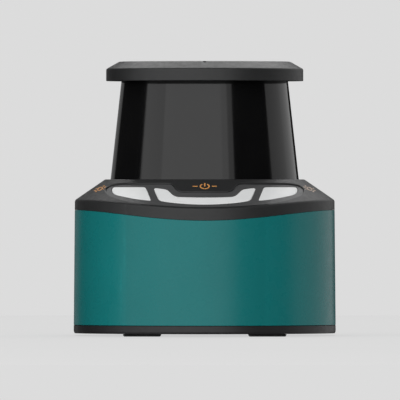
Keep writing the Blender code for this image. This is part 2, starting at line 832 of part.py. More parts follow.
def stator_outline():
    """A nine-tooth stator, each tooth a stem with a wide tip."""
    stem_root, stem_head = 0.0084, 0.0115
    stem_half, tip_half = 0.0011, math.radians(15.0)
    outline = []
    for tooth in range(TOOTH_COUNT):
        middle = 2 * math.pi * tooth / TOOTH_COUNT
        root_turn, head_turn = math.asin(stem_half / stem_root), math.asin(stem_half / stem_head)
        steps = [
            (stem_root, -root_turn),
            (stem_head, -head_turn),
            (stem_head, -tip_half),
            (CORE_TIP_RADIUS, -tip_half),
            (CORE_TIP_RADIUS, 0.0),
            (CORE_TIP_RADIUS, tip_half),
            (stem_head, tip_half),
            (stem_head, head_turn),
            (stem_root, root_turn),
        ]
        outline += [(r * math.cos(middle + turn), r * math.sin(middle + turn)) for r, turn in steps]
    return outline


def circle(radius, points=SMALL_STEPS):
    """A round outline."""
    turns = [2 * math.pi * i / points for i in range(points)]
    return [(radius * math.cos(turn), radius * math.sin(turn)) for turn in turns]


def winding_outline():
    """The lobed outline of the coils' end turns."""
    points = TOOTH_COUNT * 6
    turns = [2 * math.pi * i / points for i in range(points)]
    reach = [WINDING_RADIUS + WINDING_LOBE * math.cos(TOOTH_COUNT * turn) for turn in turns]
    return [(r * math.cos(turn), r * math.sin(turn)) for r, turn in zip(reach, turns)]


def build_motor():
    """Outer-rotor motor: core and end windings on the tube, bell and magnet ring on the shaft."""
    tube_seat = circle(TUBE_RADIUS + FIT)
    prism("stator_core", [stator_outline(), tube_seat], CORE_BOTTOM, CORE_TOP, "steel")
    coils = [winding_outline(), circle(WINDING_BORE)]
    prism("winding_top", coils, CORE_TOP + FIT, CORE_TOP + WINDING_RISE, "copper")
    prism("winding_bottom", coils, CORE_BOTTOM - WINDING_RISE, CORE_BOTTOM - FIT, "copper")
    bell_wall, bell_floor = BELL_RADIUS - BELL_WALL, BELL_BOTTOM + BELL_FLOOR
    bell = [
        (BELL_RADIUS, BELL_TOP),
        (BELL_RADIUS, BELL_BOTTOM),
        (SHAFT_RADIUS + FIT, BELL_BOTTOM),
        (SHAFT_RADIUS + FIT, bell_floor + HUB_RISE),
        (SHAFT_RADIUS + HUB_WALL, bell_floor + HUB_RISE),
        (SHAFT_RADIUS + HUB_WALL, bell_floor),
        (bell_wall, bell_floor),
        (bell_wall, BELL_TOP),
    ]
    turned("rotor_bell", bell, "steel", SMALL_STEPS)
    magnet = ring_profile(CORE_TIP_RADIUS + AIR_GAP, bell_wall - FIT, *MAGNET_LEVELS)
    turned("rotor_magnet", magnet, "magnet", SMALL_STEPS)
    shaft = [
        (0, SHAFT_TOP),
        (SHAFT_RADIUS, SHAFT_TOP),
        (SHAFT_RADIUS, SHAFT_BOTTOM + SHAFT_CHAMFER),
        (SHAFT_RADIUS - SHAFT_CHAMFER, SHAFT_BOTTOM),
        (0, SHAFT_BOTTOM),
    ]
    turned("shaft", shaft, "steel", SMALL_STEPS)


def race_arc(level, side):
    """The groove of a bearing ring, from top to bottom; side is +1 in the outer ring and -1 in the inner."""
    arc = []
    for step in range(4):
        angle = math.radians(54 - 36 * step)
        radius = BALL_CIRCLE + side * RACE_RADIUS * math.cos(angle)
        arc.append((radius, level + RACE_RADIUS * math.sin(angle)))
    return arc


def build_bearing(name, level):
    """Ball bearing: two grooved rings, and the balls in their cage."""
    top, bottom = level + BEARING_HEIGHT / 2, level - BEARING_HEIGHT / 2
    outer_land, inner_land = BALL_CIRCLE + 0.00065, BALL_CIRCLE - 0.00065
    outer = [(BEARING_OUTER, top), (BEARING_OUTER, bottom), (outer_land, bottom)]
    outer += list(reversed(race_arc(level, 1)))
    outer.append((outer_land, top))
    turned(name + "_outer_ring", outer, "steel", SMALL_STEPS)
    inner = [(inner_land, top)] + race_arc(level, -1) + [(inner_land, bottom)]
    inner += [(BEARING_BORE, bottom), (BEARING_BORE, top)]
    turned(name + "_inner_ring", inner, "steel", SMALL_STEPS)
    cage_half = 0.0004
    cage_bottom, cage_top = level - 0.0006, level + 0.0006
    cage = ring_profile(BALL_CIRCLE - cage_half, BALL_CIRCLE + cage_half, cage_bottom, cage_top)
    balls = turned(name + "_balls", cage, "brass", SMALL_STEPS)
    for i in range(BALL_COUNT):
        turn = 2 * math.pi * (i + 0.25) / BALL_COUNT
        center = Vector((BALL_CIRCLE * math.cos(turn), BALL_CIRCLE * math.sin(turn), level))
        join(balls, ball(name + "_ball_%d" % i, center))


def ball(name, center):
    """One bearing ball."""
    bm = bmesh.new()
    bmesh.ops.create_icosphere(bm, subdivisions=2, radius=BALL_RADIUS)
    bmesh.ops.translate(bm, vec=center, verts=bm.verts)
    return add_object(name, mesh_from(name, bm))


# Turning optics -----------------------------------------------------------------------------------------------


def build_encoder():
    """Glass encoder disc on the shaft, and the fork-shaped sensor that its edge runs through."""
    disc = ring_profile(SHAFT_RADIUS + FIT, ENCODER_RADIUS, ENCODER_LEVEL, ENCODER_LEVEL + 0.0008)
    turned("encoder_disc", disc, "glass")
    back, mouth, throat = -0.0215, -0.0152, -0.0184
    bottom, top = DECK_TOP + FIT, 0.0412
    slot_bottom, slot_top = ENCODER_LEVEL - 0.0006, ENCODER_LEVEL + 0.0014
    fork = [
        (back, bottom),
        (mouth, bottom),
        (mouth, slot_bottom),
        (throat, slot_bottom),
        (throat, slot_top),
        (mouth, slot_top),
        (mouth, top),
        (back, top),
    ]
    prism("encoder_sensor", [fork], -0.0040, 0.0040, "black_plastic", along="Y")


def slanted_block(name, low, high, finish=None):
    """A broad block between two heights above the mirror's plane, which faces forwards and up at 45 degrees."""
    bm = bmesh.new()
    bmesh.ops.create_cube(bm, size=1.0)
    bmesh.ops.scale(bm, vec=(0.060, 0.060, high - low), verts=bm.verts)
    bmesh.ops.translate(bm, vec=(0, 0, (low + high) / 2), verts=bm.verts)
    lean = Matrix.Translation((0, 0, MIRROR_LEVEL)) @ Matrix.Rotation(math.radians(45), 4, "X")
    bmesh.ops.transform(bm, matrix=lean, verts=bm.verts)
    return add_object(name, mesh_from(name, bm), finish)


def build_mirror():
    """Round carrier cut off at 45 degrees, with the mirror bonded on the cut."""
    carrier = [
        (0, 0.0750),
        (CARRIER_RADIUS, 0.0750),
        (CARRIER_RADIUS, CARRIER_BOTTOM),
        (SHAFT_RADIUS + FIT, CARRIER_BOTTOM),
        (SHAFT_RADIUS + FIT, SHAFT_TOP + FIT),
        (0, SHAFT_TOP + FIT),
    ]
    holder = turned("mirror_carrier", carrier, "black_plastic", SMALL_STEPS)
    cut(holder, slanted_block("carrier_cutter", 0.0, 0.050))
    mirror = cylinder("scan_mirror", MIRROR_RADIUS, (0, 0, 0.040), (0, 0, 0.080), "mirror")
    keep_inside(mirror, slanted_block("mirror_cutter", FIT, FIT + MIRROR_THICKNESS))


# Fixed optics head --------------------------------------------------------------------------------------------


def build_head():
    """Column, receiver housing, lenses, emitter barrel and board, all fixed over the mirror."""
    column_low = (-COLUMN_HALF_WIDTH, COLUMN_INNER, DECK_TOP + FIT)
    column_high = (COLUMN_HALF_WIDTH, COLUMN_OUTER, FLANGE_LEVEL - FIT)
    box("rear_column", column_low, column_high, "black_plastic")
    flange_bottom = FLANGE_LEVEL
    flange_top = flange_bottom + 0.0012
    receiver = [
        (FLANGE_RADIUS, flange_top),
        (FLANGE_RADIUS, flange_bottom),
        (LENS_TUBE_RADIUS, flange_bottom),
        (LENS_TUBE_RADIUS, LENS_TUBE_BOTTOM),
        (LENS_TUBE_BORE, LENS_TUBE_BOTTOM),
        (LENS_TUBE_BORE, flange_top),
    ]
    turned("receiver_housing", receiver, "black_plastic")
    turned("receiver_lens", lens_profile(BARREL_RADIUS + GAP, LENS_TUBE_BORE - GAP, 0.0752, 0.0030), "glass")
    barrel_bottom, barrel_top = LENS_TUBE_BOTTOM - 0.0004, HEAD_BOARD_LEVEL - FIT
    barrel = ring_profile(BARREL_BORE, BARREL_RADIUS, barrel_bottom, barrel_top)
    turned("emitter_barrel", barrel, "aluminium", 24)
    turned("collimator_lens", lens_profile(0.0, BARREL_BORE - FIT, 0.0745, 0.0016), "glass", 24)
    board = cylinder("receiver_board", 0.0195, (0, 0, HEAD_BOARD_LEVEL), (0, 0, HEAD_BOARD_LEVEL + 0.0010),
                     "circuit_board", TURN_STEPS)
    for i, (x, y) in enumerate([(0.0068, 0.0), (-0.0068, 0.0), (0.0, 0.0135)]):
        chip_low = (x - 0.0018, y - 0.0014, HEAD_BOARD_LEVEL - 0.0003)
        chip_high = (x + 0.0018, y + 0.0014, HEAD_BOARD_LEVEL + 0.0005)
        join(board, box("head_chip_%d" % i, chip_low, chip_high))


def lens_profile(inner, outer, level, thickness):
    """A lens section with both faces bulging, from its top centre round its rim to its bottom centre."""
    edge = thickness * 0.22
    steps = 3
    shares = [step / steps for step in range(steps + 1)]
    heights = [edge + (thickness / 2 - edge) * (1 - share**2) for share in shares]
    radii = [inner + (outer - inner) * share for share in shares]
    top = [(radius, level + height) for radius, height in zip(radii, heights)]
    bottom = [(radius, level - height) for radius, height in zip(radii, heights)]
    return top + list(reversed(bottom))


# Circuit boards -----------------------------------------------------------------------------------------------


def build_main_board():
    """Flat board over the base plate, cut round the chassis posts, with its larger chips."""
    rear, corner = 0.0272, 0.004
    outline = []
    for angle in ring_angles():
        radius = outline_radius(angle, 0.0345, 0.0385, rear, corner)
        outline.append((radius * math.cos(angle), radius * math.sin(angle)))
    top = MAIN_BOARD_LEVEL + BOARD_THICKNESS
    board = prism("main_board", [outline], MAIN_BOARD_LEVEL, top, "circuit_board")
    for number, (x, y) in four_corners(POST_PLACE):
        notch = cylinder("board_notch_%d" % number, POST_RADIUS + GAP, (x, y, 0.005), (x, y, 0.012), sides=16)
        cut(board, notch)
    chips = [
        ((-0.007, -0.028), (0.007, -0.018)),
        ((-0.024, -0.012), (-0.018, -0.004)),
        ((0.019, 0.001), (0.026, 0.012)),
        ((-0.012, 0.018), (0.010, 0.024)),
    ]
    for i, ((x0, y0), (x1, y1)) in enumerate(chips):
        join(board, box("chip_%d" % i, (x0, y0, top - 0.0004), (x1, y1, top + 0.0011)))


def build_interface_board():
    """Upright board behind the rear connectors."""
    half_width, front, back = 0.0240, 0.0276, 0.0276 + BOARD_THICKNESS
    board = box("interface_board", (-half_width, front, 0.0110), (half_width, back, 0.0300), "circuit_board")
    for i, x in enumerate((-0.016, 0.0, 0.016)):
        low = (x - 0.004, front - 0.0022, 0.0200)
        high = (x + 0.004, front + 0.0004, 0.0270)
        join(board, box("interface_part_%d" % i, low, high))


def build_indicator_board():
    """Crescent board behind the light windows, with one lamp under each end and two in the middle."""
    outer_a, outer_b, inner = 0.0330, 0.0385, 0.0255
    reach = math.radians(58.0)
    turns = [-math.pi / 2 - reach + 2 * reach * step / 16 for step in range(17)]
    outer = [outline_radius(turn, outer_a, outer_b, REAR_REACH, REAR_CORNER) for turn in turns]
    outline = [(r * math.cos(turn), r * math.sin(turn)) for r, turn in zip(outer, turns)]
    outline += [(inner * math.cos(turn), inner * math.sin(turn)) for turn in reversed(turns)]
    top = INDICATOR_BOARD_LEVEL + 0.0010
    board = prism("indicator_board", [outline], INDICATOR_BOARD_LEVEL, top, "circuit_board")
    for i, turn in enumerate(math.radians(a) for a in (-132.0, -97.0, -83.0, -48.0)):
        x, y = 0.0300 * math.cos(turn), 0.0300 * math.sin(turn)
        lamp_low = (x - 0.0015, y - 0.0012, top - 0.0003)
        lamp_high = (x + 0.0015, y + 0.0012, top + 0.0010)
        join(board, box("lamp_%d" % i, lamp_low, lamp_high))


clear_scene()
parts = new_collection("lidar_scanner")
cutters = new_collection("cutters")

build_cap()
build_window()
build_window_seals()
build_collar()
build_bezel()
build_light_windows()
build_housing()
build_gaskets()
build_base_plate()
build_feet()
build_base_screws()
build_mount_inserts()
build_connector("power_connector", -1, 8)
build_connector("network_connector", 1, 4)
build_vent_plug()
build_chassis()
build_motor()
build_bearing("upper_bearing", UPPER_BEARING)
build_bearing("lower_bearing", LOWER_BEARING)
build_encoder()
build_mirror()
build_head()
build_main_board()
build_interface_board()
build_indicator_board()
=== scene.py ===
"""Looks of a compact area laser scanner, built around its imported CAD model.

Metres, +Z up, with the scan axis at the origin and the front facing -Y.
"""

import json
import math

import bmesh
import bpy
import numpy as np
from mathutils import Matrix, Vector


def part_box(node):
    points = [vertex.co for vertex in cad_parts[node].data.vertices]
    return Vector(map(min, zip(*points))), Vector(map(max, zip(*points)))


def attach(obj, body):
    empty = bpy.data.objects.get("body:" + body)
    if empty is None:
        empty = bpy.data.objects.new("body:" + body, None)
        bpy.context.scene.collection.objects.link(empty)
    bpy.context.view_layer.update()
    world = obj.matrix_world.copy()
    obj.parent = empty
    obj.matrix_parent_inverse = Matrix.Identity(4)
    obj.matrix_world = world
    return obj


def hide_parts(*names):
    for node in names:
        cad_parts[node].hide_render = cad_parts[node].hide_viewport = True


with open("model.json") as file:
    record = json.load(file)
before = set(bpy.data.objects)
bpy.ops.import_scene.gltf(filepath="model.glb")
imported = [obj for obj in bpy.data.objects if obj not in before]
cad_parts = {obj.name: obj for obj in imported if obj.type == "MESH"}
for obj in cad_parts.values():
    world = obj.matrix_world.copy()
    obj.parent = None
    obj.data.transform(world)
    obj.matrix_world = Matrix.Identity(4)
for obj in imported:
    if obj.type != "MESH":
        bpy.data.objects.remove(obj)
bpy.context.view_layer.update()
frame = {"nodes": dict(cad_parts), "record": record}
MM = 0.001

# Driving sizes, read from the frame
PLATE_LOW, PLATE_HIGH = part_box("base_plate")
CAP_LOW, CAP_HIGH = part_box("top_cap")
WINDOW_LOW, WINDOW_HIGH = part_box("scan_window")
HOUSING_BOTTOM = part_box("housing")[0].z
HALF_WIDTH = PLATE_HIGH.x
FRONT_REACH = -PLATE_LOW.y
REAR_REACH = PLATE_HIGH.y
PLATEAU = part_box("collar")[1].z
CAP_RADIUS = CAP_HIGH.x

# Footprint and levels, as the CAD has them
REAR_CORNER = 9.0 * MM
FRONT_POWER = 1.87
SIDE_DRAFT = 0.37 * MM
BASE_TOP = 3.24 * MM
COLLAR_BOTTOM = 38.8 * MM
RIM = 41.8 * MM
COLLAR_DIP = 3.2 * MM
RIM_DIP = 2.6 * MM
DIP_POWER = 1.8
WALL = 2.2 * MM
REBATE = WALL / 2
PLATEAU_RADIUS = 30.7 * MM
LEDGE = 44.1 * MM
LEDGE_RADIUS = 25.2 * MM
LEDGE_THICKNESS = 1.8 * MM

# Window and cap
WINDOW_FOOT = 29.0 * MM
WINDOW_TAPER = 0.1097
WINDOW_HEAD = 25.68 * MM
WINDOW_WALL = 2.0 * MM
WINDOW_ROOM = 0.3 * MM
CAP_SHOULDER = 82.2 * MM
CAP_CROWN = 26.3 * MM
CAP_CAVITY = 21.5 * MM
CAP_CAVITY_TOP = 82.6 * MM
CAP_GROOVE = 2.6 * MM
DIMPLE_RADIUS = 0.55 * MM
DIMPLE_REACH = 26.7 * MM

# Rear pocket, connectors and vent plug
POCKET_HALF_WIDTH = 24.0 * MM
POCKET_LOW = 6.2 * MM
POCKET_HIGH = 30.8 * MM
POCKET_FLOOR = 33.0 * MM
CONNECTOR_X = 12.0 * MM
CONNECTOR_Z = 17.5 * MM
CONNECTOR_HOLE = 6.2 * MM
THREAD_PITCH = 1.0 * MM
THREAD_DEPTH = 0.45 * MM
NUT_BORE = 6.0 * MM
PIN_RADIUS = 0.5 * MM
PIN_CIRCLE = 2.8 * MM
PIN_REACH = 5.5 * MM
VENT_Z = 27.0 * MM
VENT_HOLE = 3.1 * MM
VENT_STEM = 2.9 * MM
VENT_SLOTS = (-1.2 * MM, 0.0, 1.2 * MM)

# Base plate, screws, inserts and pads
BASE_CHAMFER = (0.3 * MM, 0.6 * MM)
BASE_LIP = (1.1 * MM, 1.7 * MM)
POST_PLACE = (27.0 * MM, 18.5 * MM)
SCREW_RECESS = (3.1 * MM, 2.3 * MM)
SCREW_HOLE = 1.7 * MM
SCREW_SHANK = 1.45 * MM
SCREW_HEAD_TOP = 2.2 * MM
SOCKET = (1.3 * MM, 1.9 * MM)
INSERT_PLACE = (16.0 * MM, 14.0 * MM)
INSERT_HOLE = 3.1 * MM
INSERT_THREADS = (2.1 * MM, 2.4 * MM)
INSERT_PITCH = 0.7 * MM
BOSS_RADIUS = 4.4 * MM
BOSS_LEVELS = (2.0 * MM, 7.2 * MM)
DRILL_TOP = 9.0 * MM
PAD_BEND = 1.6 * MM
PAD_RINGS = [(0.70, 0.0), (0.52, 0.02), (0.38, 0.10), (0.30, 0.25), (0.10, 0.56), (0.15, 0.66)]
PAD_TOP_INSET = 0.28 * MM
GROOVE_SHARES = (0.36, 0.64)
GROOVE_RADIUS = 0.45 * MM
GROOVE_LEVEL = -0.20 * MM
GROOVE_MARGIN = 1.3 * MM

# How finely shapes are drawn, and where their shading breaks
FRONT_COLUMNS = 440
SIDE_COLUMNS = 250
END_GAP = 2e-5
TURN_STEPS = 128
WIDE_STEPS = 256
ROD_STEPS = 48
FINE_STEPS = 96
BORE_STEPS = 64
BAR_STEPS = 6
PAD_STEPS = 8
HALVINGS = 40
PANEL_PASSES = 5
GUARD = 0.4
SHARP = 35.0
CUT_SHARP = 30.0
PAD_SHARP = 50.0
WELD = 0.5e-6
TINY = 1e-7

# Layout of the front slope, seen from the front
SLOPE_STRETCH = 1.79
SLOPE_SCALE = np.array([1.0, SLOPE_STRETCH])
PANEL_DEPTH_LOW = 0.12 * MM
PANEL_DEPTH_HIGH = 0.50 * MM
PANEL_LIP = 0.16 * MM
PANEL_CREST = 0.28 * MM
PANEL_SLANT = 0.10 * MM
PANEL_ROOM = 1.0 * MM
PANEL_GAP = 0.05 * MM
PANEL_EDGE = 0.06 * MM
PANEL_UNDERSIDE = -0.9 * MM
WELL_MARGIN = 0.06 * MM
LENS_MARGIN = 0.04 * MM
LENS_TOP = -0.05 * MM
RIM_MARGIN = 0.8 * MM
SEAM_EDGE = 0.08
SEAM_GAP = 0.06 * MM
PLATEAU_MARGIN = 0.5 * MM
LENS_RADIUS = 0.25 * MM
PRINT_HIGH = 0.02 * MM
PRINT_LOW = -0.04 * MM
MARK_WIDTH = 0.40 * MM
SIDE_MARK_X = 32.2 * MM
SIDE_MARK_Z = 45.3 * MM
SIDE_MARK_FALL = 0.32
SIDE_MARK_WIDTH = 0.28 * MM

# Drawn marks, in millimetres
MARK_Z = 46.05
SIDE_RAYS = [((-1.9, 0.0), (-1.2, 0.0)), ((1.2, 0.0), (1.9, 0.0)), ((-1.4, 0.55), (-0.95, 0.38)),
             ((0.95, 0.38), (1.4, 0.55)), ((0.95, -0.38), (1.4, -0.55)), ((-1.4, -0.55), (-0.95, -0.38))]

# View: a long lens, level with the middle of the object
SENSOR_WIDTH = 36.0
CAMERA_DISTANCE = 5.1
VIEW_WIDTH = 123.3 * MM
VIEW_CENTER = Vector((-1.45 * MM, 0.0, 41.85 * MM))
BACKGROUND = 0.716
FLOOR_RADIUS = 0.9
FLOOR_STEPS = 96
FLOOR_GLOW = 0.57
FLOOR_GREY = (0.14, 0.145)

# Relief of the finishes
MOULD_GRAIN = 0.012 * MM
INK_GRAIN = 0.003 * MM
EVEN = (1.0, 1.0, 1.0)
WHITE = (1.0, 1.0, 1.0, 1.0)

# Light: how bright the sky is, and the soft boxes round the object
SKY_LEVEL = 0.28
SKY_GLOSS = 0.012
LIGHT_DISTANCE = 1.6
LIGHT_LEVEL = 0.05
SEGMENT_ANGLE = 30.0
WALL_LIGHTS = [
    # name, first and last azimuth, lowest and highest elevation, radiance
    ("key_left", -86.0, -55.0, -30.0, 55.0, 1.15),
    ("key", -55.0, 22.0, -30.0, 55.0, 1.44),
    ("key_fade", 22.0, 30.0, -30.0, 55.0, 1.25),
    ("key_edge", 30.0, 37.0, -30.0, 55.0, 0.75),
    ("side", 91.0, 122.0, -30.0, 55.0, 0.56),
    ("side_far", 122.0, 155.0, -30.0, 55.0, 0.62),
    ("left_back", -177.0, -147.0, -30.0, 12.0, 0.19),
    ("high_left", 192.0, 217.0, 14.0, 60.0, 0.15),
    ("high_right", 143.0, 168.0, 14.0, 60.0, 0.55),
    ("high_back", 158.0, 202.0, 31.0, 64.0, 4.0),
]


# ---- Meshes ----


def add_object(name, data):
    """A new object in the scene."""
    obj = bpy.data.objects.new(name, data)
    bpy.context.scene.collection.objects.link(obj)
    return obj


def mesh_object(name, points, faces, sharp=SHARP):
    """A closed mesh with its faces pointing out, shaded smooth except at sharp edges."""
    mesh = bpy.data.meshes.new(name)
    mesh.from_pydata(points, [], faces)
    bm = bmesh.new()
    bm.from_mesh(mesh)
    bmesh.ops.remove_doubles(bm, verts=bm.verts, dist=WELD)
    bmesh.ops.dissolve_degenerate(bm, edges=bm.edges, dist=TINY)
    bmesh.ops.recalc_face_normals(bm, faces=bm.faces)
    bm.to_mesh(mesh)
    bm.free()
    mesh.shade_smooth()
    mesh.set_sharp_from_angle(angle=math.radians(sharp))
    return add_object(name, mesh)


def grid_faces(row_count, column_count, wrap_rows, wrap_columns):
    """Quads of a grid of points that are stored row after row."""
    faces = []
    for row in range(row_count if wrap_rows else row_count - 1):
        here = row * column_count
        above = ((row + 1) % row_count) * column_count
        for column in range(column_count if wrap_columns else column_count - 1):
            after = (column + 1) % column_count
            faces.append((here + column, here + after, above + after, above + column))
    return faces


def ring_object(name, rows, capped=False, sharp=SHARP):
    """A body from closed rings; the last one joins the first, or both ends are flat caps."""
    rows = np.asarray(rows)
    row_count, column_count = rows.shape[:2]
    faces = grid_faces(row_count, column_count, not capped, True)
    if capped:
        faces.append(tuple(reversed(range(column_count))))
        faces.append(tuple(range((row_count - 1) * column_count, row_count * column_count)))
    return mesh_object(name, rows.reshape(-1, 3).tolist(), faces, sharp)


def corner(ring, soften=0.0, rows=1, run=0):
    """One corner of a section: its ring, its rounding in millimetres, and the rows in it and after it."""
    return {"ring": np.asarray(ring), "soften": soften * MM, "rows": rows, "run": run}


def rounded_rows(corners, closed=True):
    """Rings that follow the corners in turn and round each one off.

    A guard ring close beside each rounding keeps the shading of the flats flat.
    """
    count = len(corners)
    starts, ends, rows = [], [], []
    for i, here in enumerate(corners):
        before, after = corners[i - 1]["ring"], corners[(i + 1) % count]["ring"]
        loose_end = not closed and i in (0, count - 1)
        reach = 0.0 if loose_end else here["soften"]
        starts.append(here["ring"] + reach * unit(before - here["ring"]))
        ends.append(here["ring"] + reach * unit(after - here["ring"]))
    for i, here in enumerate(corners):
        steps = here["rows"] if here["soften"] else 1
        for step in range(steps):
            share = step / (steps - 1) if steps > 1 else 0.5
            first, middle, last = (1 - share) ** 2, 2 * share * (1 - share), share**2
            rows.append(first * starts[i] + middle * here["ring"] + last * ends[i])
        if i < count - 1 or closed:
            following = starts[(i + 1) % count]
            length = np.linalg.norm(following - ends[i], axis=-1, keepdims=True)
            near, far = GUARD * here["soften"], GUARD * corners[(i + 1) % count]["soften"]
            guarded = length.min() > 2 * (near + far) > 0
            if guarded and near:
                rows.append(ends[i] + (following - ends[i]) * near / length)
            for step in range(1, here["run"] + 1):
                share = step / (here["run"] + 1)
                rows.append((1 - share) * ends[i] + share * following)
            if guarded and far:
                rows.append(following - (following - ends[i]) * far / length)
    return np.array(rows)


def unit(vectors):
    """Vectors of length one."""
    length = np.linalg.norm(vectors, axis=-1, keepdims=True)
    return vectors / np.maximum(length, 1e-12)


def turned(name, corners, place=Matrix.Identity(4), steps=TURN_STEPS, capped=False):
    """A body of revolution from (radius, height, rounding, rows) corners, solid to its axis if capped."""
    angles = np.arange(steps) * 2 * math.pi / steps
    made = [corner(round_ring(radius, height, angles), *rounding) for radius, height, *rounding in corners]
    obj = ring_object(name, rounded_rows(made, closed=not capped), capped)
    obj.data.transform(place)
    return obj


def rod(name, radius, start, end, place, steps=ROD_STEPS):
    """A round bar, or with six steps a hexagonal one, along its own Z."""
    return turned(name, [(radius, start), (radius, end)], place, steps, capped=True)


def rounded_rectangle(low, high, bend, inset, steps):
    """Corner arcs of a rectangle between two (across, along) corners, moved in by an inset."""
    middle = [(a + b) / 2 for a, b in zip(low, high)]
    half = [(b - a) / 2 - bend for a, b in zip(low, high)]
    ring = []
    for i, (across, along) in enumerate([(1, 1), (-1, 1), (-1, -1), (1, -1)]):
        for step in range(steps):
            angle = math.pi / 2 * (i + step / (steps - 1))
            ring.append((
                middle[0] + across * half[0] + (bend - inset) * math.cos(angle),
                middle[1] + along * half[1] + (bend - inset) * math.sin(angle),
            ))
    return ring


def smooth_loop(points, per_span=8):
    """A closed Catmull-Rom curve through given points."""
    points = np.asarray(points, float)
    spans = []
    for i in range(len(points)):
        a, b = points[i - 1], points[i]
        c, d = points[(i + 1) % len(points)], points[(i + 2) % len(points)]
        for step in range(per_span):
            s = step / per_span
            line = 2 * b + (c - a) * s + (2 * a - 5 * b + 4 * c - d) * s**2 + (3 * b - a - 3 * c + d) * s**3
            spans.append(line / 2)
    return np.array(spans)


def edge_distance(points, loop):
    """Distance on the slope from (x, z) points to a closed loop."""
    points, loop = points * SLOPE_SCALE, loop * SLOPE_SCALE
    best = np.full(len(points), 1e9)
    for a, b in zip(loop, np.roll(loop, -1, axis=0)):
        edge, to_point = b - a, points - a
        share = np.clip(to_point @ edge / max(edge @ edge, 1e-18), 0, 1)
        best = np.minimum(best, np.linalg.norm(to_point - share[:, None] * edge, axis=1))
    return best


# ---- Footprint and slope ----


def outline_radius(angles, inset=0.0):
    """Distance from the axis to the footprint, inset by a margin."""
    half_width, front, rear = HALF_WIDTH - inset, FRONT_REACH - inset, REAR_REACH - inset
    bend = REAR_CORNER - inset
    across, along = np.abs(np.cos(angles)), np.abs(np.sin(angles))
    blunt = ((across / half_width) ** FRONT_POWER + (along / front) ** FRONT_POWER) ** (-1 / FRONT_POWER)
    center_x, center_y = half_width - bend, rear - bend
    forward = across * center_x + along * center_y
    inner = np.maximum(forward**2 - center_x**2 - center_y**2 + bend**2, 0)
    square = forward + np.sqrt(inner)
    square = np.where(across * center_y >= along * half_width, half_width / np.maximum(across, 1e-9), square)
    square = np.where(along * center_x >= across * rear, rear / np.maximum(along, 1e-9), square)
    return np.where(np.sin(angles) < 0, blunt, square)


def front_dip(depth, x, y):
    """How far an edge of the collar dips below its side level."""
    share = np.clip(np.abs(x) / HALF_WIDTH, 0, 1)
    return np.where(y < 0, depth * (1 - share**2) ** DIP_POWER, 0.0)


def shell_ring(inset, level, dip=0.0, angles=None):
    """A ring that follows the footprint and dips in front."""
    angles = ANGLES if angles is None else angles
    radius = outline_radius(angles, inset + SIDE_DRAFT * (level - PLATE_LOW.z) / RIM)
    return round_ring(radius, level, angles, dip)


def round_ring(radius, level, angles=None, dip=0.0):
    """A ring about the scan axis at the footprint's angles."""
    angles = ANGLES if angles is None else angles
    x, y = radius * np.cos(angles), radius * np.sin(angles)
    return np.stack([x, y, level - front_dip(dip, x, y)], axis=-1)


def slope_point(angles, shares, height):
    """A point on the collar's slope; share runs from 0 at the rim to 1 at the plateau."""
    foot, head = shell_ring(0.0, RIM, RIM_DIP, angles), round_ring(PLATEAU_RADIUS, PLATEAU, angles)
    step = 1e-3
    side_foot = shell_ring(0.0, RIM, RIM_DIP, angles + step)
    side_head = round_ring(PLATEAU_RADIUS, PLATEAU, angles + step)
    shares = np.asarray(shares)[..., None]
    here = foot + (head - foot) * shares
    beside = side_foot + (side_head - side_foot) * shares
    normal = unit(np.cross(beside - here, head - foot))
    return here + normal * np.asarray(height)[..., None]


def place_on_slope(x, z):
    """The angle and share of the slope's point that the front view shows at (x, z)."""
    low, high = np.full(x.shape, -math.pi), np.zeros(x.shape)
    for _ in range(HALVINGS):
        angles = (low + high) / 2
        foot = shell_ring(0.0, RIM, RIM_DIP, angles)
        share = (z - foot[..., 2]) / (PLATEAU - foot[..., 2])
        reach = foot[..., 0] + (PLATEAU_RADIUS * np.cos(angles) - foot[..., 0]) * share
        low = np.where(reach < x, angles, low)
        high = np.where(reach < x, high, angles)
    return angles, share


def place_on_panel(x, z):
    """The angle and share of the sunken panel's point that the front view shows at (x, z)."""
    angles, shares = place_on_slope(x, z)
    for _ in range(PANEL_PASSES):
        shift = slope_point(angles, shares, -panel_depth(shares)) - slope_point(angles, shares, 0.0)
        angles, shares = place_on_slope(x - shift[..., 0], z - shift[..., 2])
    return angles, shares


def panel_depth(shares):
    """How deep the crescent panel lies under the slope: more towards the plateau."""
    return PANEL_DEPTH_LOW + (PANEL_DEPTH_HIGH - PANEL_DEPTH_LOW) * np.clip(shares, 0, 1)


# ---- Outlines of the front panel ----


def mirrored(half):
    """A left half outline in millimetres and its mirror image, as one closed outline in metres."""
    return np.array(half + [(-x, z) for x, z in reversed(half)]) * MM


